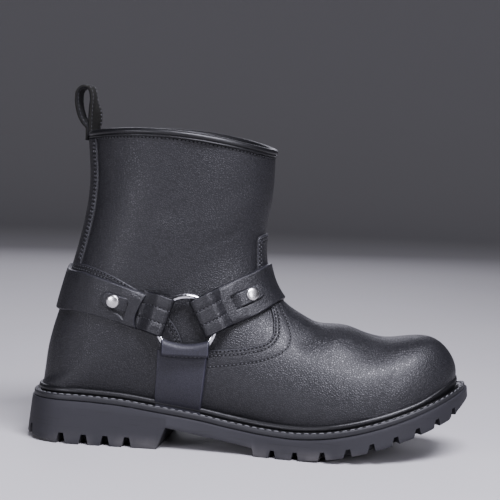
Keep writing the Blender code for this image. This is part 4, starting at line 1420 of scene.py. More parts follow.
    def build_strip(self) -> None:
        """Back strip: a band over the seam between two edges a set reach in front of the back."""
        last, count = self.last, 90
        z = np.linspace(self.strip_low, self.strip_high, 12)
        edges, seams = [], []
        for side in Side:
            seam = last.seam_at(z, side)
            back = last.sample(seam)[0]
            edges.append(last.trace(np.c_[back[:, 0] + self.strip_reach, back[:, 2]], side, count))
            seams.append(last.seam_at(np.linspace(self.strip_low, self.strip_high, count), side))
        parts = MeshParts()
        for edge, seam in zip(edges, seams):
            length = np.linalg.norm(last.sample(edge)[0] - last.sample(seam)[0], axis=1)
            self.lay(parts, edge, seam, self.insets(length, 10))
            guide = self.inward(edge, 0.8 * edge + 0.2 * seam)
            self.sewn(edge[2:-2], guide[2:-2])
        parts.build("back_strip", [Finish.LEATHER], Slot.LEATHER, ["back_strip"])

    def build(self) -> None:
        """Build every piece of the upper."""
        self.build_shell()
        self.build_vamp()
        self.build_counter()
        self.build_strip()


@dataclass
class Collar:
    """Rolled binding with its stitch row, and the pull loop at the back."""

    last: Last
    stitches: Stitches
    profile: tuple = (
        (0.1, -3.6), (0.8, -3.6), (1.3, -3.35), (1.45, -3.0), (1.35, -2.6), (1.0, -2.3), (0.95, -2.1),
        (1.3, -1.8), (1.7, -1.3), (1.85, -0.5), (1.6, 0.4), (0.9, 1.2), (-0.2, 1.6), (-1.6, 1.6),
        (-2.8, 1.2), (-3.6, 0.3), (-3.9, -0.8), (-3.9, -4.6), (-3.2, -5.2))
    loop_path: tuple = (
        (36.9, 206.5), (37.0, 210.5), (36.9, 214.6), (33.6, 218.6), (31.1, 223.1), (29.5, 228.2),
        (28.7, 233.9), (28.9, 238.5), (30.6, 241.9), (33.8, 243.6), (37.0, 242.7), (38.6, 239.3),
        (39.1, 235.4), (39.6, 230.8), (40.4, 225.6), (40.4, 219.9), (39.9, 214.7), (39.5, 206.5))
    loop_turn: tuple = (
        0.0, 0.0, 0.0, 0.0, 0.0, 0.0, 0.0, 0.0, 0.0, 0.0, 0.0, -1.0, -1.0, 5.0, 13.0, 14.0, 10.0, 3.0)
    loop_width: float = 18.6
    loop_thick: float = 2.2
    loop_seam: float = 1.9
    loop_groove: float = 0.18
    loop_edge: float = 0.6
    loop_inset: Steps = (0.0, 0.0, 0.15, 0.5, 1.2)
    loop_steps: int = 90
    rim_steps: int = 240
    profile_steps: int = 46
    seam_drop: float = 4.5
    seam_out: float = 0.12

    def build_binding(self) -> None:
        """Binding: a rounded profile carried round the rim, out along the normal and up along the leg."""
        c = np.linspace(0.0, 2.0 * self.last.half, self.rim_steps + 1)[:-1]
        rim = np.c_[np.full(len(c), self.last.rows - 1.0), c]
        point, _ = self.last.sample(rim)
        below = self.last.sample(rim - (5.0, 0.0))[0]
        along = unit(np.roll(point, -1, 0) - np.roll(point, 1, 0))
        up = point - below
        up = unit(up - along * np.sum(up * along, axis=1)[:, None])
        out = np.cross(up, along)
        out = out * np.sign(np.sum(out * (point - point.mean(0))))
        profile = np.array(self.profile)
        knots, share = np.linspace(0, 1, len(profile)), np.linspace(0, 1, self.profile_steps)
        lip, high = (smooth(share, knots, profile[:, k]) for k in (0, 1))
        grid = point[None] + out[None] * lip[:, None, None] + up[None] * high[:, None, None]
        middle = point - out * 1.0 - up * 2.0
        parts = MeshParts().grid(grid, grid - middle[None], around=True)
        parts.build("collar_binding", [Finish.GLOSS], Slot.GLOSS, ["collar_binding"])
        seam = point + out * self.seam_out - up * self.seam_drop
        self.stitches.row(np.vstack((seam, seam[:1])), np.vstack((out, out[:1])))

    def build_loop(self) -> None:
        """Pull loop: a thick ribbon whose width axis turns a little about the vertical along its path."""
        path = np.array(self.loop_path)
        run = run_along(path)
        at = np.linspace(0.0, run[-1], self.loop_steps)
        x, z = smooth(at, run, path[:, 0]), smooth(at, run, path[:, 1])
        turn = np.radians(smooth(at, run, np.array(self.loop_turn)))
        centre = np.c_[x, np.zeros_like(x), z]
        width = np.c_[np.sin(turn), np.cos(turn), np.zeros_like(x)]
        along = unit(np.gradient(centre, axis=0))
        out = unit(np.cross(width, along))
        out = out * np.sign(np.sum(out * (centre - centre.mean(0))))
        half, thick = 0.5 * self.loop_width, 0.5 * self.loop_thick
        inset = np.array(self.loop_inset)
        across = np.r_[-half + inset, np.linspace(-half + 2.0, half - 2.0, 9), half - inset[::-1]]
        from_edge = half - np.abs(across)
        level = thick * round_over(from_edge, self.loop_edge)
        level = level - self.loop_groove * bell(from_edge, self.loop_seam, 0.5)
        parts = MeshParts()
        for sign, slot in ((1.0, 1), (-1.0, 0)):
            face = centre[:, None] + width[:, None] * across[None, :, None]
            face = face + sign * out[:, None] * level[None, :, None]
            parts.grid(face, sign * np.broadcast_to(out[:, None], face.shape), slot=slot)
        parts.build("pull_loop", [Finish.LOOP, Finish.FLESH], Slot.LEATHER, ["pull_loop"])
        for sign in (1.0, -1.0):
            for edge in (-1.0, 1.0):
                row = centre + width * edge * (half - self.loop_seam) + out * sign * (thick - 0.15)
                self.stitches.row(row[6:-6], sign * out[6:-6])

    def build(self) -> None:
        """Build the binding and the loop."""
        self.build_binding()
        self.build_loop()


class EndSizes(NamedTuple):
    """Sizes of a strap end: turns in degrees, and distances from the middle of the ring.

    The fold round the ring points along one turn, and the strap lies on the leather along another.
    """

    turn: float
    front: float
    stop: float
    slot: float
    stud: float
    tip: float
    half: float
    sag: float
    lie: float


class StrapEnd(Enum):
    """The three strap ends at a ring."""

    REAR = EndSizes(162.0, 12.4, 30.4, 39.1, 51.6, 60.4, 13.4, 0.0, 165.3)
    FRONT = EndSizes(27.8, 8.0, 28.8, 35.6, 48.2, 56.2, 13.4, 0.0, 25.9)
    ARCH = EndSizes(270.0, 9.4, 22.4, 0.0, 0.0, 0.0, 15.9, 3.4, 270.0)


@dataclass
class Harness:
    """Straps, their folded ends, tongues, rings and studs on both sides."""

    last: Last
    stitches: Stitches
    ring_x: float = 115.5
    ring_z: float = 86.5
    ring_outer: float = 42.4
    ring_wire: float = 3.8
    ring_drop: float = 0.8
    strap_foot: float = 1.0
    strap_top: float = 4.25
    strap_thick: float = 2.0
    band_lift: float = 1.3
    tab_top: float = 6.15
    tab_width: float = 9.7
    fold_radius: float = 4.1
    edge_radius: float = 0.8
    stud_radius: float = 4.4
    stud_height: float = 1.9
    rear_top: tuple = ((88.8, 105.3), (78.3, 108.3), (66.0, 111.8), (55.6, 114.6), (42.0, 117.8))
    rear_foot: tuple = ((82.0, 80.8), (70.0, 84.6), (56.8, 87.8), (46.0, 89.6), (36.0, 90.8))
    rear_back: Pair = (91.6, 120.0)
    front_top: tuple = ((135.4, 111.4), (147.0, 116.8), (157.0, 121.2))
    front_foot: tuple = ((146.9, 86.6), (156.0, 90.8), (163.4, 94.4))
    front_ridge: Pair = (99.8, 125.6)
    arch_rear: tuple = ((96.3, 68.0), (96.0, 56.0), (95.2, 44.0), (94.6, 38.5))
    arch_front: tuple = ((130.4, 68.0), (129.6, 56.0), (128.2, 42.0), (127.2, 34.5))
    arch_foot: Pair = (94.6, 126.6)
    arch_width: float = 34.0
    arch_hang: float = 3.0
    edge_points: int = 120
    slot_half: float = 5.0
    slot_sink: float = 0.55
    lift_run: float = 9.0
    crown: float = 0.25
    crown_run: float = 9.0
    wear_and_highlight_at: float = 0.45
    wear_and_highlight_reach: float = 0.4
    fold_rows: int = 14
    fold_under: float = 7.0
    groove_at: float = 4.85
    groove_reach: float = 0.36
    groove_depth: float = 0.6
    groove_steps: Steps = (-5.6, -5.2, -4.85, -4.5, -4.1)
    groove_columns: tuple[int, int] = (11, 20)
    groove_fade: int = 21
    sewn_rows: tuple[int, int] = (1, 24)
    side_steps: Steps = (0.0, 0.0, 0.12, 0.35, 0.7, 1.2, 2.0, 3.0)
    middle_steps: Steps = (-8.5, -6.6, -5.1, -4.95, -3.0, -1.0, 1.0, 3.0, 4.95, 5.1, 6.6, 8.5)
    end_steps: Steps = (0.0, 0.0, 0.12, 0.35, 0.7, 1.2, 2.2, 3.6, 5.0)
    tab_steps: Steps = (-1.0, -1.0, -0.97, -0.92, -0.84, -0.7)
    tab_groove: float = 0.16

    def ring_frame(self, side: Side) -> tuple[Array, Array, Array, Array]:
        """Middle of a ring's solid and its axes along the boot, up and out.

        Args:
            side: Side of the boot.

        Returns:
            Middle, right, up and out.
        """
        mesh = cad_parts[f"ring_{side.name.lower()}"].data
        flat = np.zeros(len(mesh.vertices) * 3, np.float32)
        mesh.vertices.foreach_get("co", flat)
        points = flat.reshape(-1, 3).astype(float) / MM + (ORIGIN_X, 0.0, 0.0)
        middle = 0.5 * (points.min(0) + points.max(0))
        out = np.linalg.svd(points - points.mean(0), full_matrices=False)[2][2]
        out = out * np.sign(out[1] * side.value)
        right = unit(np.array((1.0, 0.0, 0.0)) - out * out[0])
        up = np.cross(out, right)
        up = up * np.sign(up[2])
        return middle - up * self.ring_drop, right, up, out

    def side_place(self, end: StrapEnd, along: Array, across: Array) -> tuple[Array, Array]:
        """Places in the side view at distances along and across a strap end.

        Args:
            end: Strap end.
            along: Distances from the ring's middle along it.
            across: Distances across it.

        Returns:
            Places along the boot and heights.
        """
        turn = math.radians(end.value.lie)
        x = self.ring_x + math.cos(turn) * along - math.sin(turn) * across
        z = self.ring_z + math.sin(turn) * along + math.cos(turn) * across
        return x, z

    def wear_and_highlight(self, inset: Array) -> Array:
        """Mask of wear with a painted highlight near a strap's cut edge, from the distance to it."""
        return bell(inset, self.wear_and_highlight_at, self.wear_and_highlight_reach)

    def band(self, low: Array, high: Array, runs: Array, slot_at: float,
             ends: float) -> tuple[Array, Array, Array]:
        """Strap between two edge paths, with rounded edges and ends raised over the folded pieces.

        Points lie between the two edges; the height is a quarter circle at the edges and ends, plus a lift
        near each end that stops at the slot in the middle of the strap.

        Args:
            low: Lower edge, rows and columns.
            high: Upper edge.
            runs: Distances along the strap, from the outer end to the inner end.
            slot_at: Distance of the slot from each end.
            ends: Length of the strap.

        Returns:
            Points, outward directions and mask of wear with a painted highlight.
        """
        a, b = self.last.even(low, runs / ends), self.last.even(high, runs / ends)
        width = np.linalg.norm(self.last.sample(a)[0] - self.last.sample(b)[0], axis=1)[:, None]
        steps = np.array(self.side_steps)[None]
        inset = np.c_[np.repeat(steps, len(a), 0), 0.5 * width + np.array(self.middle_steps)[None],
                      width - steps[:, ::-1]]
        share = inset / width
        at = a[:, None] * (1.0 - share[..., None]) + b[:, None] * share[..., None]
        side = np.minimum(inset, width - inset)
        end = np.minimum(runs, ends - runs)[:, None]
        off = np.abs(inset - 0.5 * width)
        beside = 1.0 - ease(end, slot_at, slot_at + self.lift_run)
        within = -self.slot_sink * (1.0 - ease(end, slot_at + 4.0, slot_at + 16.0))
        within = np.where(end < slot_at, 1.0, within)
        lift = self.band_lift * np.where(off < self.slot_half, within, beside) * ease(side, 0.0, 3.0)
        rise = self.strap_top + self.crown * ease(side, 0.0, self.crown_run) + lift - self.strap_foot
        rise = self.strap_foot + rise * round_over(side, self.edge_radius) * round_over(end, self.edge_radius)
        rise[0], rise[-1], rise[:, 0], rise[:, -1] = (self.strap_foot,) * 4
        return self.last.place(at, rise), self.last.sample(at)[1], self.wear_and_highlight(np.minimum(side, end))

    def build_band(self, end: StrapEnd, lows: list[Array], highs: list[Array]) -> None:
        """Strap from ring to ring.

        Args:
            end: Its strap end.
            lows: Lower edge on the outer and the inner side, each from its end to the middle.
            highs: Upper edge in the same way.
        """
        slot_at = end.value.slot - end.value.stop
        low = np.vstack((lows[0], lows[1][-2::-1]))
        high = np.vstack((highs[0], highs[1][-2::-1]))
        total = run_along(self.last.sample(0.5 * (low + high))[0])[-1]
        near = np.r_[np.array(self.end_steps), np.arange(6.5, slot_at - 0.3, 1.5), slot_at - 0.06,
                     slot_at + 0.06, slot_at + np.arange(1.0, 18.0, 1.5)]
        first, last = near[-1] + 1.5, total - near[-1] - 1.5
        runs = np.r_[near, np.linspace(first, last, int((total - 2 * near[-1]) / 1.9)), total - near[::-1]]
        face, out, wear_and_highlight = self.band(low, high, runs, slot_at, total)
        name = f"strap_{end.name.lower()}"
        MeshParts().grid(face, out, edge=wear_and_highlight).build(name, [Finish.STRAP], Slot.LEATHER, [name])

    def strap_edge(self, end: StrapEnd, points: tuple, height: float) -> list[Array]:
        """Edge of a strap on both sides, from its end to the back seam or to the ridge.

        Args:
            end: Its strap end.
            points: Places in the side view.
            height: Height at the back seam or on the ridge.

        Returns:
            Rows and columns for each side.
        """
        made = []
        for side in Side:
            middle = self.last.seam_at(height, side) if end is StrapEnd.REAR else self.last.ridge_at(height)
            made.append(self.last.trace(points, side, self.edge_points, last=middle, height=self.strap_top))
        return made

    def build_straps(self) -> None:
        """Rear strap round the heel and front strap over the instep."""
        for end, low, high, middle in (
            (StrapEnd.REAR, self.rear_foot, self.rear_top, self.rear_back),
            (StrapEnd.FRONT, self.front_foot, self.front_top, self.front_ridge),
        ):
            lows, highs = self.strap_edge(end, low, middle[0]), self.strap_edge(end, high, middle[1])
            self.build_band(end, lows, highs)

    def fold(self, side: Side, end: StrapEnd, grooves: bool) -> tuple[Array, Array, Array, Array]:
        """Folded piece round a ring's wire.

        Its path comes up from the strap, runs over the wire, round it as a half circle and a little way back
        beneath. Near the ring it lies in the ring's plane, and at the strap it lies on the leather.

        Args:
            side: Side of the boot.
            end: Sizes of the strap end.
            grooves: Whether two grooves divide it along its length.

        Returns:
            Outer points, inner points, outward directions and mask of wear with a painted highlight.
        """
        sizes, half, radius, rows = end.value, end.value.half, self.fold_radius, self.fold_rows
        middle, right, up, out = self.ring_frame(side)
        angle = math.radians(sizes.turn)
        way = right * math.cos(angle) + up * math.sin(angle)
        cross = -right * math.sin(angle) + up * math.cos(angle)
        inset, groove = np.array(self.side_steps), np.array(self.groove_steps)
        w = np.r_[-half + inset, -half + 4.6, groove, -3.0, -1.0, 1.0, 3.0, -groove[::-1], half - 4.6,
                  half - inset[::-1]]
        start = (sizes.front + sizes.sag * (1.0 - (w / half) ** 2) + radius)[None]
        far = sizes.stop + (2.6 if grooves else 0.0)
        back = np.linspace(1.0, 0.0, rows + 1)[:-1][:, None]
        bend = np.linspace(0.5, 1.5, rows + 1)[:, None] * math.pi
        under = np.linspace(0.0, 1.0, 5)[1:][:, None]
        a = np.concatenate((
            start + (far - start) * back, start + radius * np.cos(bend), start + self.fold_under * under), 0)
        b = np.concatenate((np.full_like(back, radius) + 0 * start, radius * np.sin(bend) + 0 * start,
                            np.full_like(under, -radius) + 0 * start), 0)
        wide = np.broadcast_to(w[None], a.shape)
        from_edge = half - np.abs(wide)
        in_plane = middle + way * a[..., None] + cross * wide[..., None] + out * b[..., None]
        x, z = self.side_place(end, a, wide)
        at = self.last.locate(x, z, side, self.strap_top)
        on_strap = self.strap_top - 0.7 if grooves else self.strap_top + self.strap_thick + 0.1
        limits = (0.5 * self.ring_outer + 0.4, far - 0.5) if grooves else (far - 3.0, far + 3.0)
        share = np.zeros_like(a)
        share[:rows] = ease(a[:rows], *limits)
        face = in_plane + (self.last.place(at, on_strap) - in_plane) * share[..., None]
        normal = unit(np.cross(np.gradient(face, axis=0), np.gradient(face, axis=1)))
        normal = normal * np.sign(np.sum(normal[4, 8] * out))
        depth = 1.0 - round_over(from_edge, self.edge_radius)
        if not grooves:
            tail = np.linalg.norm(face - face[:1], axis=-1)
            depth = np.maximum(depth, 1.0 - round_over(tail, self.edge_radius))
        sunk = self.strap_thick * depth
        if grooves:
            cut = bell(np.abs(wide), self.groove_at, self.groove_reach)
            fade = ease(np.linspace(1.0, 0.0, len(cut) - self.groove_fade), 0.0, 1.0)
            cut[self.groove_fade:] *= fade[:, None]
            sunk = sunk + self.groove_depth * cut
        return face - normal * sunk[..., None], face - normal * self.strap_thick, normal, self.wear_and_highlight(from_edge)

    def build_folds(self) -> None:
        """Folded pieces at each ring: two with grooves, and the flap of the strap down to the welt."""
        for side in Side:
            word = side.name.lower()
            for end in StrapEnd:
                arch = end is StrapEnd.ARCH
                face, inner, normal, wear_and_highlight = self.fold(side, end, not arch)
                finish = Finish.ARCH if arch else Finish.STRAP
                parts = MeshParts().grid(face, normal, edge=wear_and_highlight).grid(inner, -normal)
                parts.build(f"fold_{end.name.lower()}_{word}", [finish], Slot.LEATHER)
                if arch:
                    columns = slice(8, -8)
                    row = face[2, columns] * 0.5 + face[3, columns] * 0.5
                    self.stitches.row(row - 0.1 * normal[2, columns], normal[2, columns])
                else:
                    rows = slice(*self.sewn_rows)
                    for column in self.groove_columns:
                        row = face[rows, column] + 0.25 * normal[rows, column]
                        self.stitches.row(row, normal[rows, column])

    def build_arch(self) -> None:
        """Straps from the rings down into the welt."""
        last = self.last
        for side in Side:
            base = last.base_at(np.array(self.arch_foot), side)
            rear, front = (
                last.trace(points, side, 40, last=foot, height=self.strap_top)
                for points, foot in ((self.arch_rear, base[0]), (self.arch_front, base[1]))
            )
            width, steps = self.arch_width, np.array(self.side_steps)
            inset = np.r_[steps, np.linspace(4.5, width - 4.5, 12), width - steps[::-1]]
            share = (inset / width)[None, :, None]
            at = rear[:, None] * (1.0 - share) + front[:, None] * share
            edge = np.minimum(inset, inset[-1] - inset)
            rise = self.strap_foot + (self.strap_top - self.strap_foot) * round_over(edge, self.edge_radius)
            rise[0] = rise[-1] = self.strap_foot
            face = last.place(at, np.broadcast_to(rise[None], at.shape[:2]))
            out = last.sample(at)[1]
            face = np.concatenate((face, face[-1:] - (0.0, 0.0, self.arch_hang)))
            out = np.concatenate((out, out[-1:]))
            wear_and_highlight = np.broadcast_to(self.wear_and_highlight(edge)[None], face.shape[:2])
            name = f"strap_arch_{side.name.lower()}"
            MeshParts().grid(face, out, edge=wear_and_highlight).build(name, [Finish.ARCH], Slot.LEATHER, [name])

    def build_tongues(self) -> None:
        """Tongues from the slots to their rounded tips, each under a stud."""
        half = 0.5 * self.tab_width
        for side in Side:
            for end in (StrapEnd.REAR, StrapEnd.FRONT):
                slot, turn = end.value.slot, end.value.tip - half
                tail = np.linspace(slot - 1.2, turn, 16)[:-1]
                along = np.r_[tail, turn + half * np.sin(np.linspace(0.0, 0.5 * math.pi, 14))][:, None]
                past = np.clip(along - turn, 0.0, half) / half
                steps = np.array(self.tab_steps)
                v = np.r_[steps, np.linspace(-0.5, 0.5, 6), -steps[::-1]]
                across = half * np.sqrt(np.maximum(1.0 - past ** 2, TINY)) * v[None]
                edge = np.where(along > turn, half - np.hypot(along - turn, across), half - np.abs(across))
                top = self.tab_top - self.strap_top + 0.5
                top = self.strap_top - 0.5 + top * ease(along, slot - 1.0, slot + 4.5)
                low = self.strap_top - 0.6
                rise = low + (top - low) * round_over(edge, 0.6)
                rise = rise - self.tab_groove * bell(edge, 1.3, 0.35)
                rise[:, 0] = rise[:, -1] = low
                rise[-1] = low
                x, z = self.side_place(end, along + 0.0 * across, across)
                at = self.last.locate(x, z, side, self.tab_top)
                name = f"tab_{end.name.lower()}_{side.name.lower()}"
                # Mask of wear with a painted highlight along the tongue's edge.
                wear_and_highlight = bell(edge, 0.35, 0.3)
                parts = MeshParts().grid(self.last.place(at, rise), self.last.sample(at)[1], edge=wear_and_highlight)
                parts.build(name, [Finish.STRAP], Slot.LEATHER, [name])

    def build_rings(self) -> None:
        """Rings: a circle of wire carried round a circle, in the plane of the solid that each replaces."""
        radius, wire = 0.5 * (self.ring_outer - self.ring_wire), 0.5 * self.ring_wire
        turn = round_turn(160)[:, None, None]
        bend = round_turn(28)[None, :, None]
        for side in Side:
            middle, right, up, out = self.ring_frame(side)
            ray = right * np.cos(turn) + up * np.sin(turn)
            grid = middle + ray * (radius + wire * np.cos(bend)) + out * wire * np.sin(bend)
            name = f"ring_{side.name.lower()}"
            parts = MeshParts().grid(grid, grid - (middle + ray * radius), around=True, closed=True)
            parts.build(name, [Finish.METAL], Slot.CHROME, [name])

    def build_studs(self) -> None:
        """Studs: a low dome with a thin rim, turned about the normal of the leather under it."""
        turn = round_turn(48)[None, :, None]
        bow = np.linspace(0.0, 0.5 * math.pi, 14)
        wide = self.stud_radius
        radius = np.r_[wide, wide + 0.25, wide + 0.2, wide * np.cos(bow)]
        height = np.r_[-0.9, -0.5, 0.3, 0.6 + (self.stud_height - 0.6) * np.sin(bow) ** 0.9]
        for side in Side:
            for end in (StrapEnd.REAR, StrapEnd.FRONT):
                name = f"stud_{end.name.lower()}_{side.name.lower()}"
                x, z = self.side_place(end, np.array([end.value.stud]), np.zeros(1))
                at = self.last.locate(x, z, side, self.tab_top + 1.0)
                middle, axis = self.last.place(at, self.tab_top - 0.1)[0], self.last.sample(at)[1][0]
                right = unit(np.cross(axis, (0.0, 0.0, 1.0)))
                up = np.cross(right, axis)
                ray = right * np.cos(turn) + up * np.sin(turn)
                grid = middle + ray * radius[:, None, None] + axis * height[:, None, None]
                parts = MeshParts().grid(grid, grid - middle + axis * 0.6, around=True)
                parts.build(name, [Finish.NICKEL], Slot.CHROME, [name])

    def build(self) -> None:
        """Build every piece of the harness."""
        self.build_straps()
        self.build_folds()
        self.build_arch()
        self.build_tongues()
        self.build_rings()
        self.build_studs()


@dataclass
class Sole:
    """Outsole with lugs, welt with bead and stitching, and the insole's cover."""

    form: SoleForm
    steps: int = 300
    heel_notches: Steps = (6.0, 31.0, 47.0, 62.0, 77.0)
    heel_notch: Pair = (7.0, 3.4)
    heel_lug: float = 7.0
    fore_notches: Steps = (177.0, 192.5, 211.0, 228.0, 243.5, 259.0, 273.0, 285.5, 296.0)
    fore_notch: Pair = (5.6, 2.8)
    notch_in: float = 11.0
    toe_bevel: float = 6.0
    toe_bevel_start: float = 294.0
    toe_bevel_run: float = 11.0
    toe_bead: float = 3.2
    toe_bead_range: Pair = (270.0, 298.0)
    notch_clear: float = 4.2
    tread_inset: float = 12.5
    under_inset: float = 12.3
    under_range: Pair = (13.2, 291.8)
    sharp_edge: float = 38.0
    edge_round: float = 0.7
    stitch_pitch: float = 5.2
    stitch_length: float = 4.5
    stitch_radius: float = 0.38

    @staticmethod
    def halves(loop: Array) -> tuple[slice, slice]:
        """Outer and inner half of an outline."""
        return slice(0, len(loop) // 2), slice(len(loop) // 2, None)

    def build_welt(self) -> None:
        """Welt: a ledge with a rounded edge and a stitch channel, then a round bead against the upper."""
        form = self.form
        loop = form.outline(self.steps)
        ledge, bead = form.ledge_thick, form.bead_height
        bow = np.radians(np.linspace(-78.0, 112.0, 15))
        lines = [("ledge", 2.5, 0.0), ("ledge", 0.5, 0.0), ("ledge", 0.12, 0.12), ("ledge", 0.0, 0.5),
                 ("ledge", 0.0, ledge - 0.9), ("ledge", 0.16, ledge - 0.35), ("ledge", 0.55, ledge - 0.06),
                 ("ledge", 1.0, ledge), ("ledge", 1.5, ledge - 0.25), ("ledge", 2.3, ledge - 0.3),
                 ("ledge", 2.8, ledge - 0.02), ("bead", -0.5, ledge - 0.1), ("bead", 0.1, ledge - 0.5)]
        lines += [("bead", 1.9 * (1.0 - math.cos(t)) - 0.2, ledge + 0.5 * bead * (1.0 + math.sin(t)))
                  for t in bow]
        lines += [("feather", 0.6, ledge + bead - 0.6), ("feather", 1.2, ledge)]
        rings = []
        for column, extra, height in lines:
            line = form.line(loop, column, extra)
            rise = self.toe_bead * ease(line[:, 0], *self.toe_bead_range)
            rise = rise * np.clip((height - ledge) / bead, 0.0, 1.0)
            rings.append(np.c_[line, form.deck_z(line[:, 0]) + form.gap + height + rise])
        grid = np.array(rings)
        core = form.line(loop, "bead", 1.5)
        middle = np.c_[core, form.deck_z(core[:, 0]) + form.gap + 0.5 * ledge]
        parts = MeshParts().grid(grid[:11], grid[:11] - middle[None], around=True, slot=1)
        parts.grid(grid[10:], grid[10:] - middle[None], around=True)
        parts.build("welt", [Finish.GLOSS, Finish.WELT], Slot.GLOSS, ["welt"])
        rows = Stitches(self.stitch_pitch, self.stitch_length, self.stitch_radius)
        seam = grid[8] * 0.5 + grid[9] * 0.5
        out = np.broadcast_to((0.0, 0.0, 1.0), (len(seam) + 1, 3))
        rows.row(np.vstack((seam, seam[:1])), out, 0.3, 9.0)
        rows.parts.build("welt_stitches", [Finish.WELT_THREAD], Slot.GLOSS)

    def side_columns(self, loop: Array, run: Array) -> tuple[Array, Array, Array]:
        """Columns round the outsole's side.

        Args:
            loop: Dense outline.
            run: Distance along it.

        Returns:
            Middle place of each column, side of a notch's edge that it follows (0 for none) and notch mask.
        """
        total = run[-1]
        places, edges, masks, taken = [], [], [], []
        for x in self.heel_notches + self.fore_notches:
            for part in self.halves(loop):
                middle = read_sorted(x, loop[part, 0], run[:-1][part])
                taken.append(middle)
                for edge, mask in ((-1.0, 0.0), (-1.0, 1.0), (0.0, 1.0), (1.0, 1.0), (1.0, 0.0)):
                    places.append(middle + 0.02 * (mask - 0.5) * -edge)
                    edges.append(edge)
                    masks.append(mask)
        plain = np.linspace(0.0, total, 420)[:-1]
        form = self.form
        for x in (form.breast_foot, form.breast_top, form.fore_start, form.fore_start + form.lug_step):
            for part in self.halves(loop):
                plain = np.r_[plain, read_sorted(x, loop[part, 0], run[:-1][part])]
        gap = np.abs(plain[:, None] - np.array(taken)[None])
        plain = plain[np.minimum(gap, total - gap).min(1) > self.notch_clear]
        place = np.r_[plain, places]
        edge = np.r_[np.zeros(len(plain)), edges]
        mask = np.r_[np.zeros(len(plain)), masks]
        order = np.argsort(place + 2.0 * edge)
        return place[order], edge[order], mask[order]

    def build_outsole(self) -> None:
        """Outsole: its side is a grid of columns round the outline and rows from the welt to the tread.

        At a notch the rows under the lug height move in towards the middle, and the notch widens downwards.
        """
        form = self.form
        loop = form.outline(1200)
        run = np.r_[run_along(loop), 0.0]
        run[-1] = run[-2] + np.linalg.norm(loop[0] - loop[-1])
        closed = np.vstack((loop, loop[:1]))
        place, edge, mask = self.side_columns(loop, run)
        at_x = np.interp(place, run, closed[:, 0])
        deck, flat_tread = form.deck_z(at_x), form.tread_z(at_x)
        bevel = np.clip((at_x - self.toe_bevel_start) / self.toe_bevel_run, 0.0, 1.0)
        tread = flat_tread + self.toe_bevel * bevel
        flare = smooth(at_x, form.inset_table["x"], form.inset_table["top"])
        lug = np.where(at_x < form.breast_top, self.heel_lug, form.lug_height)
        cut = np.minimum(tread + lug, deck - 1.0)
        sizes = np.where(at_x < form.breast_top, self.heel_notch[0], self.fore_notch[0])
        tops = np.where(at_x < form.breast_top, self.heel_notch[1], self.fore_notch[1])
        r = self.edge_round
        rows = [(deck, 3.0, False), (deck, 0.5, False), (deck - 0.15, 0.12, False), (deck - 0.5, 0.0, False)]
        rows += [(deck - 0.5 + (cut - deck + 0.5) * share, 0.0, False) for share in (0.25, 0.5, 0.75, 1.0)]
        rows += [(cut, 0.0, True), (0.5 * (cut + tread), 0.0, True), (tread + r, 0.0, True),
                 (tread + 0.3 * r, 0.3 * r, True), (tread, r, True), (flat_tread, self.tread_inset, True)]
        grid = []
        for z, extra, low in rows:
            down = np.clip((cut - z) / np.maximum(cut - tread, TINY), 0.0, 1.0)
            where = place + edge * 0.5 * (tops + (sizes - tops) * down)
            flat, ahead, behind = (
                np.stack([np.interp(at % run[-1], run, closed[:, k]) for k in (0, 1)], -1)
                for at in (where, where + 0.6, where - 0.6)
            )
            way = unit(ahead - behind)
            lean = flare * np.clip((z - tread) / np.maximum(deck - tread, 1.0), 0.0, 1.0)
            move = np.maximum(lean + extra, np.where(low, mask * self.notch_in, 0.0))
            shift = form.spring(flat[:, 0]) - form.spring(at_x)
            flat = flat + np.c_[-way[:, 1], way[:, 0]] * move[:, None]
            grid.append(np.c_[flat, z + shift])
        grid = np.array(grid)
        middle = np.c_[np.interp(place, run, closed[:, 0]), np.zeros(len(place)), 0.5 * (deck + tread)]
        parts = MeshParts().grid(grid, grid - middle[None], around=True)
        x = np.r_[np.linspace(self.under_range[0], form.breast_foot, 26),
                  np.linspace(form.breast_top, form.fore_start, 16),
                  np.linspace(form.fore_start + form.lug_step, self.under_range[1], 40)]
        inner = form.inset(loop, self.under_inset)
        edge_y = [read_sorted(x, inner[part, 0], inner[part, 1]) for part in self.halves(loop)]
        share = np.linspace(0.0, 1.0, 12)
        y = edge_y[0][:, None] * (1.0 - share) + edge_y[1][:, None] * share
        z = np.broadcast_to(form.tread_z(x)[:, None], y.shape)
        under = np.stack((np.broadcast_to(x[:, None], y.shape), y, z), -1)
        parts.grid(under, np.array((0.0, 0.0, -1.0)))
        parts.build("outsole", [Finish.RUBBER], Slot.RUBBER, ["outsole"], sharp=self.sharp_edge)

    def build(self) -> None:
        """Build the sole, and cover the insole's solid with cloth."""
        self.build_outsole()
        self.build_welt()
        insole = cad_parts["insole"]
        insole.data.materials.clear()
        insole.data.materials.append(Finish.BOARD.material)


class Lamp(NamedTuple):
    """Soft rectangular light: its place, the point it is aimed at and its size in metres, and its watts."""

    name: str
    place: Triple
    aim: Triple
    size: Pair
    power: float


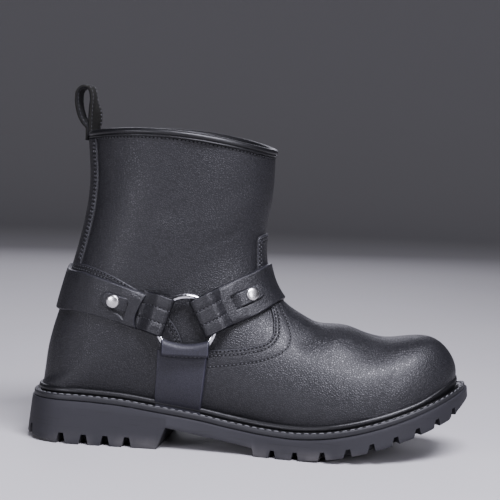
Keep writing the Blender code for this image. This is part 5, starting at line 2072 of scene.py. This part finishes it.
@dataclass
class Studio:
    """Pale round sweep, soft lights and the camera at the photograph's angle."""

    flat_radius: float = 2.3
    wall_radius: float = 1.2
    azimuth: float = 6.99
    elevation: float = 4.29
    roll: float = 1.99
    distance: float = 1101.0
    target: Triple = (151.874, 0.0, 134.789)
    focal_pixels: float = 1593.894
    image_pixels: float = 500.0
    sensor: float = 36.0
    tint: Triple = (0.885, 0.875, 1.0)
    sky: Triple = (0.74, 0.73, 0.82)
    sky_strength: float = 0.04
    lamps: tuple[Lamp, ...] = (
        Lamp("top", (0.52, -0.74, 1.38), (0.14, 0.0, 0.06), (1.0, 0.5), 90.0),
        Lamp("right", (1.08, -1.20, 0.66), (0.08, 0.0, 0.20), (0.45, 0.7), 16.0),
        Lamp("left", (-0.92, -1.30, 0.36), (0.0, 0.0, 0.08), (0.5, 0.4), 15.5),
        Lamp("back", (-0.30, 1.50, 0.60), (0.08, 0.0, 0.12), (1.2, 0.6), 6.0),
    )

    def build_floor(self) -> None:
        """Floor: a flat disc that turns up into a round wall, as a surface of radius and angle."""
        bow = np.linspace(0.0, 0.5 * math.pi, 20)
        radius = np.r_[0.002, 0.3, 0.8, 1.5, self.flat_radius + self.wall_radius * np.sin(bow)]
        height = np.r_[0.0, 0.0, 0.0, 0.0, self.wall_radius * (1.0 - np.cos(bow))]
        turn = round_turn(96)
        grid = np.stack((radius[:, None] * np.cos(turn), radius[:, None] * np.sin(turn),
                         np.broadcast_to(height[:, None], (len(radius), len(turn)))), -1)
        index = np.arange(grid.shape[0] * grid.shape[1]).reshape(grid.shape[:2])
        index = np.c_[index, index[:, :1]]
        quads = np.stack((index[:-1, :-1], index[1:, :-1], index[1:, 1:], index[:-1, 1:]), -1).reshape(-1, 4)
        mesh = bpy.data.meshes.new("floor")
        mesh.from_pydata(grid.reshape(-1, 3).tolist(), [], quads.tolist() + [index[0, :-1].tolist()])
        mesh.shade_smooth()
        n = Nodes("floor_paint")
        where = n.add("ShaderNodeTexCoord", output="Object")
        cloud = n.noise(where, 3.0, 4.0)
        away = n.add("ShaderNodeVectorMath", {"operation": "LENGTH"}, {0: where}, "Value")
        base = n.mix(cloud, (0.33, 0.322, 0.326, 1.0), (0.38, 0.372, 0.376, 1.0))
        # Darker away from the middle and up the wall: painted shade, as if the light fell off.
        base = n.mix(n.span(away, 0.5, 2.6), base, (0.18, 0.177, 0.178, 1.0))
        mesh.materials.append(n.finish(Base_Color=base, Roughness=0.7 + 0.1 * (cloud - 0.5)))
        link("floor", mesh)

    def light(self, lamp: Lamp) -> None:
        """Add a light.

        Args:
            lamp: Its sizes.
        """
        data = bpy.data.lights.new(lamp.name, "AREA")
        data.shape, data.size, data.size_y = "RECTANGLE", lamp.size[0], lamp.size[1]
        data.energy, data.color = lamp.power, self.tint
        back = unit(np.array(lamp.place, float) - np.array(lamp.aim, float))
        right = unit(np.cross((0.0, 0.0, 1.0), back))
        link(lamp.name, data).matrix_world = aimed(right, np.cross(back, right), back, lamp.place)

    def build_lights(self) -> None:
        """Soft lights over and to the right of the camera, weak ones to the left and behind, a dim sky."""
        for lamp in self.lamps:
            self.light(lamp)
        world = bpy.data.worlds.new("studio")
        world.use_nodes = True
        background = world.node_tree.nodes["Background"]
        background.inputs["Color"].default_value = colour(self.sky)
        background.inputs["Strength"].default_value = self.sky_strength
        bpy.context.scene.world = world

    def build_camera(self) -> None:
        """Camera at the fitted distance, turned up and rolled about its own axis."""
        az, el, roll = (math.radians(a) for a in (self.azimuth, self.elevation, self.roll))
        back = np.array((math.sin(az) * math.cos(el), -math.cos(az) * math.cos(el), math.sin(el)))
        right = unit(np.cross(-back, (0.0, 0.0, 1.0)))
        up = np.cross(right, -back)
        lens = bpy.data.cameras.new("camera")
        lens.sensor_width = self.sensor
        lens.lens = self.sensor * self.focal_pixels / self.image_pixels
        place = (np.array(self.target) - (ORIGIN_X, 0.0, 0.0) + back * self.distance) * MM
        made = link("camera", lens)
        made.matrix_world = aimed(right * math.cos(roll) + up * math.sin(roll),
                                  up * math.cos(roll) - right * math.sin(roll), back, place)
        bpy.context.scene.camera = made

    def build(self) -> None:
        """Build floor, lights and camera."""
        self.build_floor()
        self.build_lights()
        self.build_camera()


def main() -> None:
    """Dress the boot in order."""
    logging.basicConfig(level=logging.INFO, format="%(name)s %(message)s")
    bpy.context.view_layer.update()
    form = SoleForm()
    last = Last(form)
    Studio().build()
    Sole(form).build()
    upper = Upper(last)
    upper.build()
    Collar(last, upper.stitches).build()
    Harness(last, upper.stitches).build()
    upper.stitches.parts.build("stitches", [Finish.THREAD], Slot.LEATHER)
    # Dark discs of painted shade at each needle hole.
    upper.stitches.hole_shades.build("needle_hole_shade_discs", [Finish.HOLE_SHADE], Slot.LEATHER)


if __name__ == "__main__":
    main()
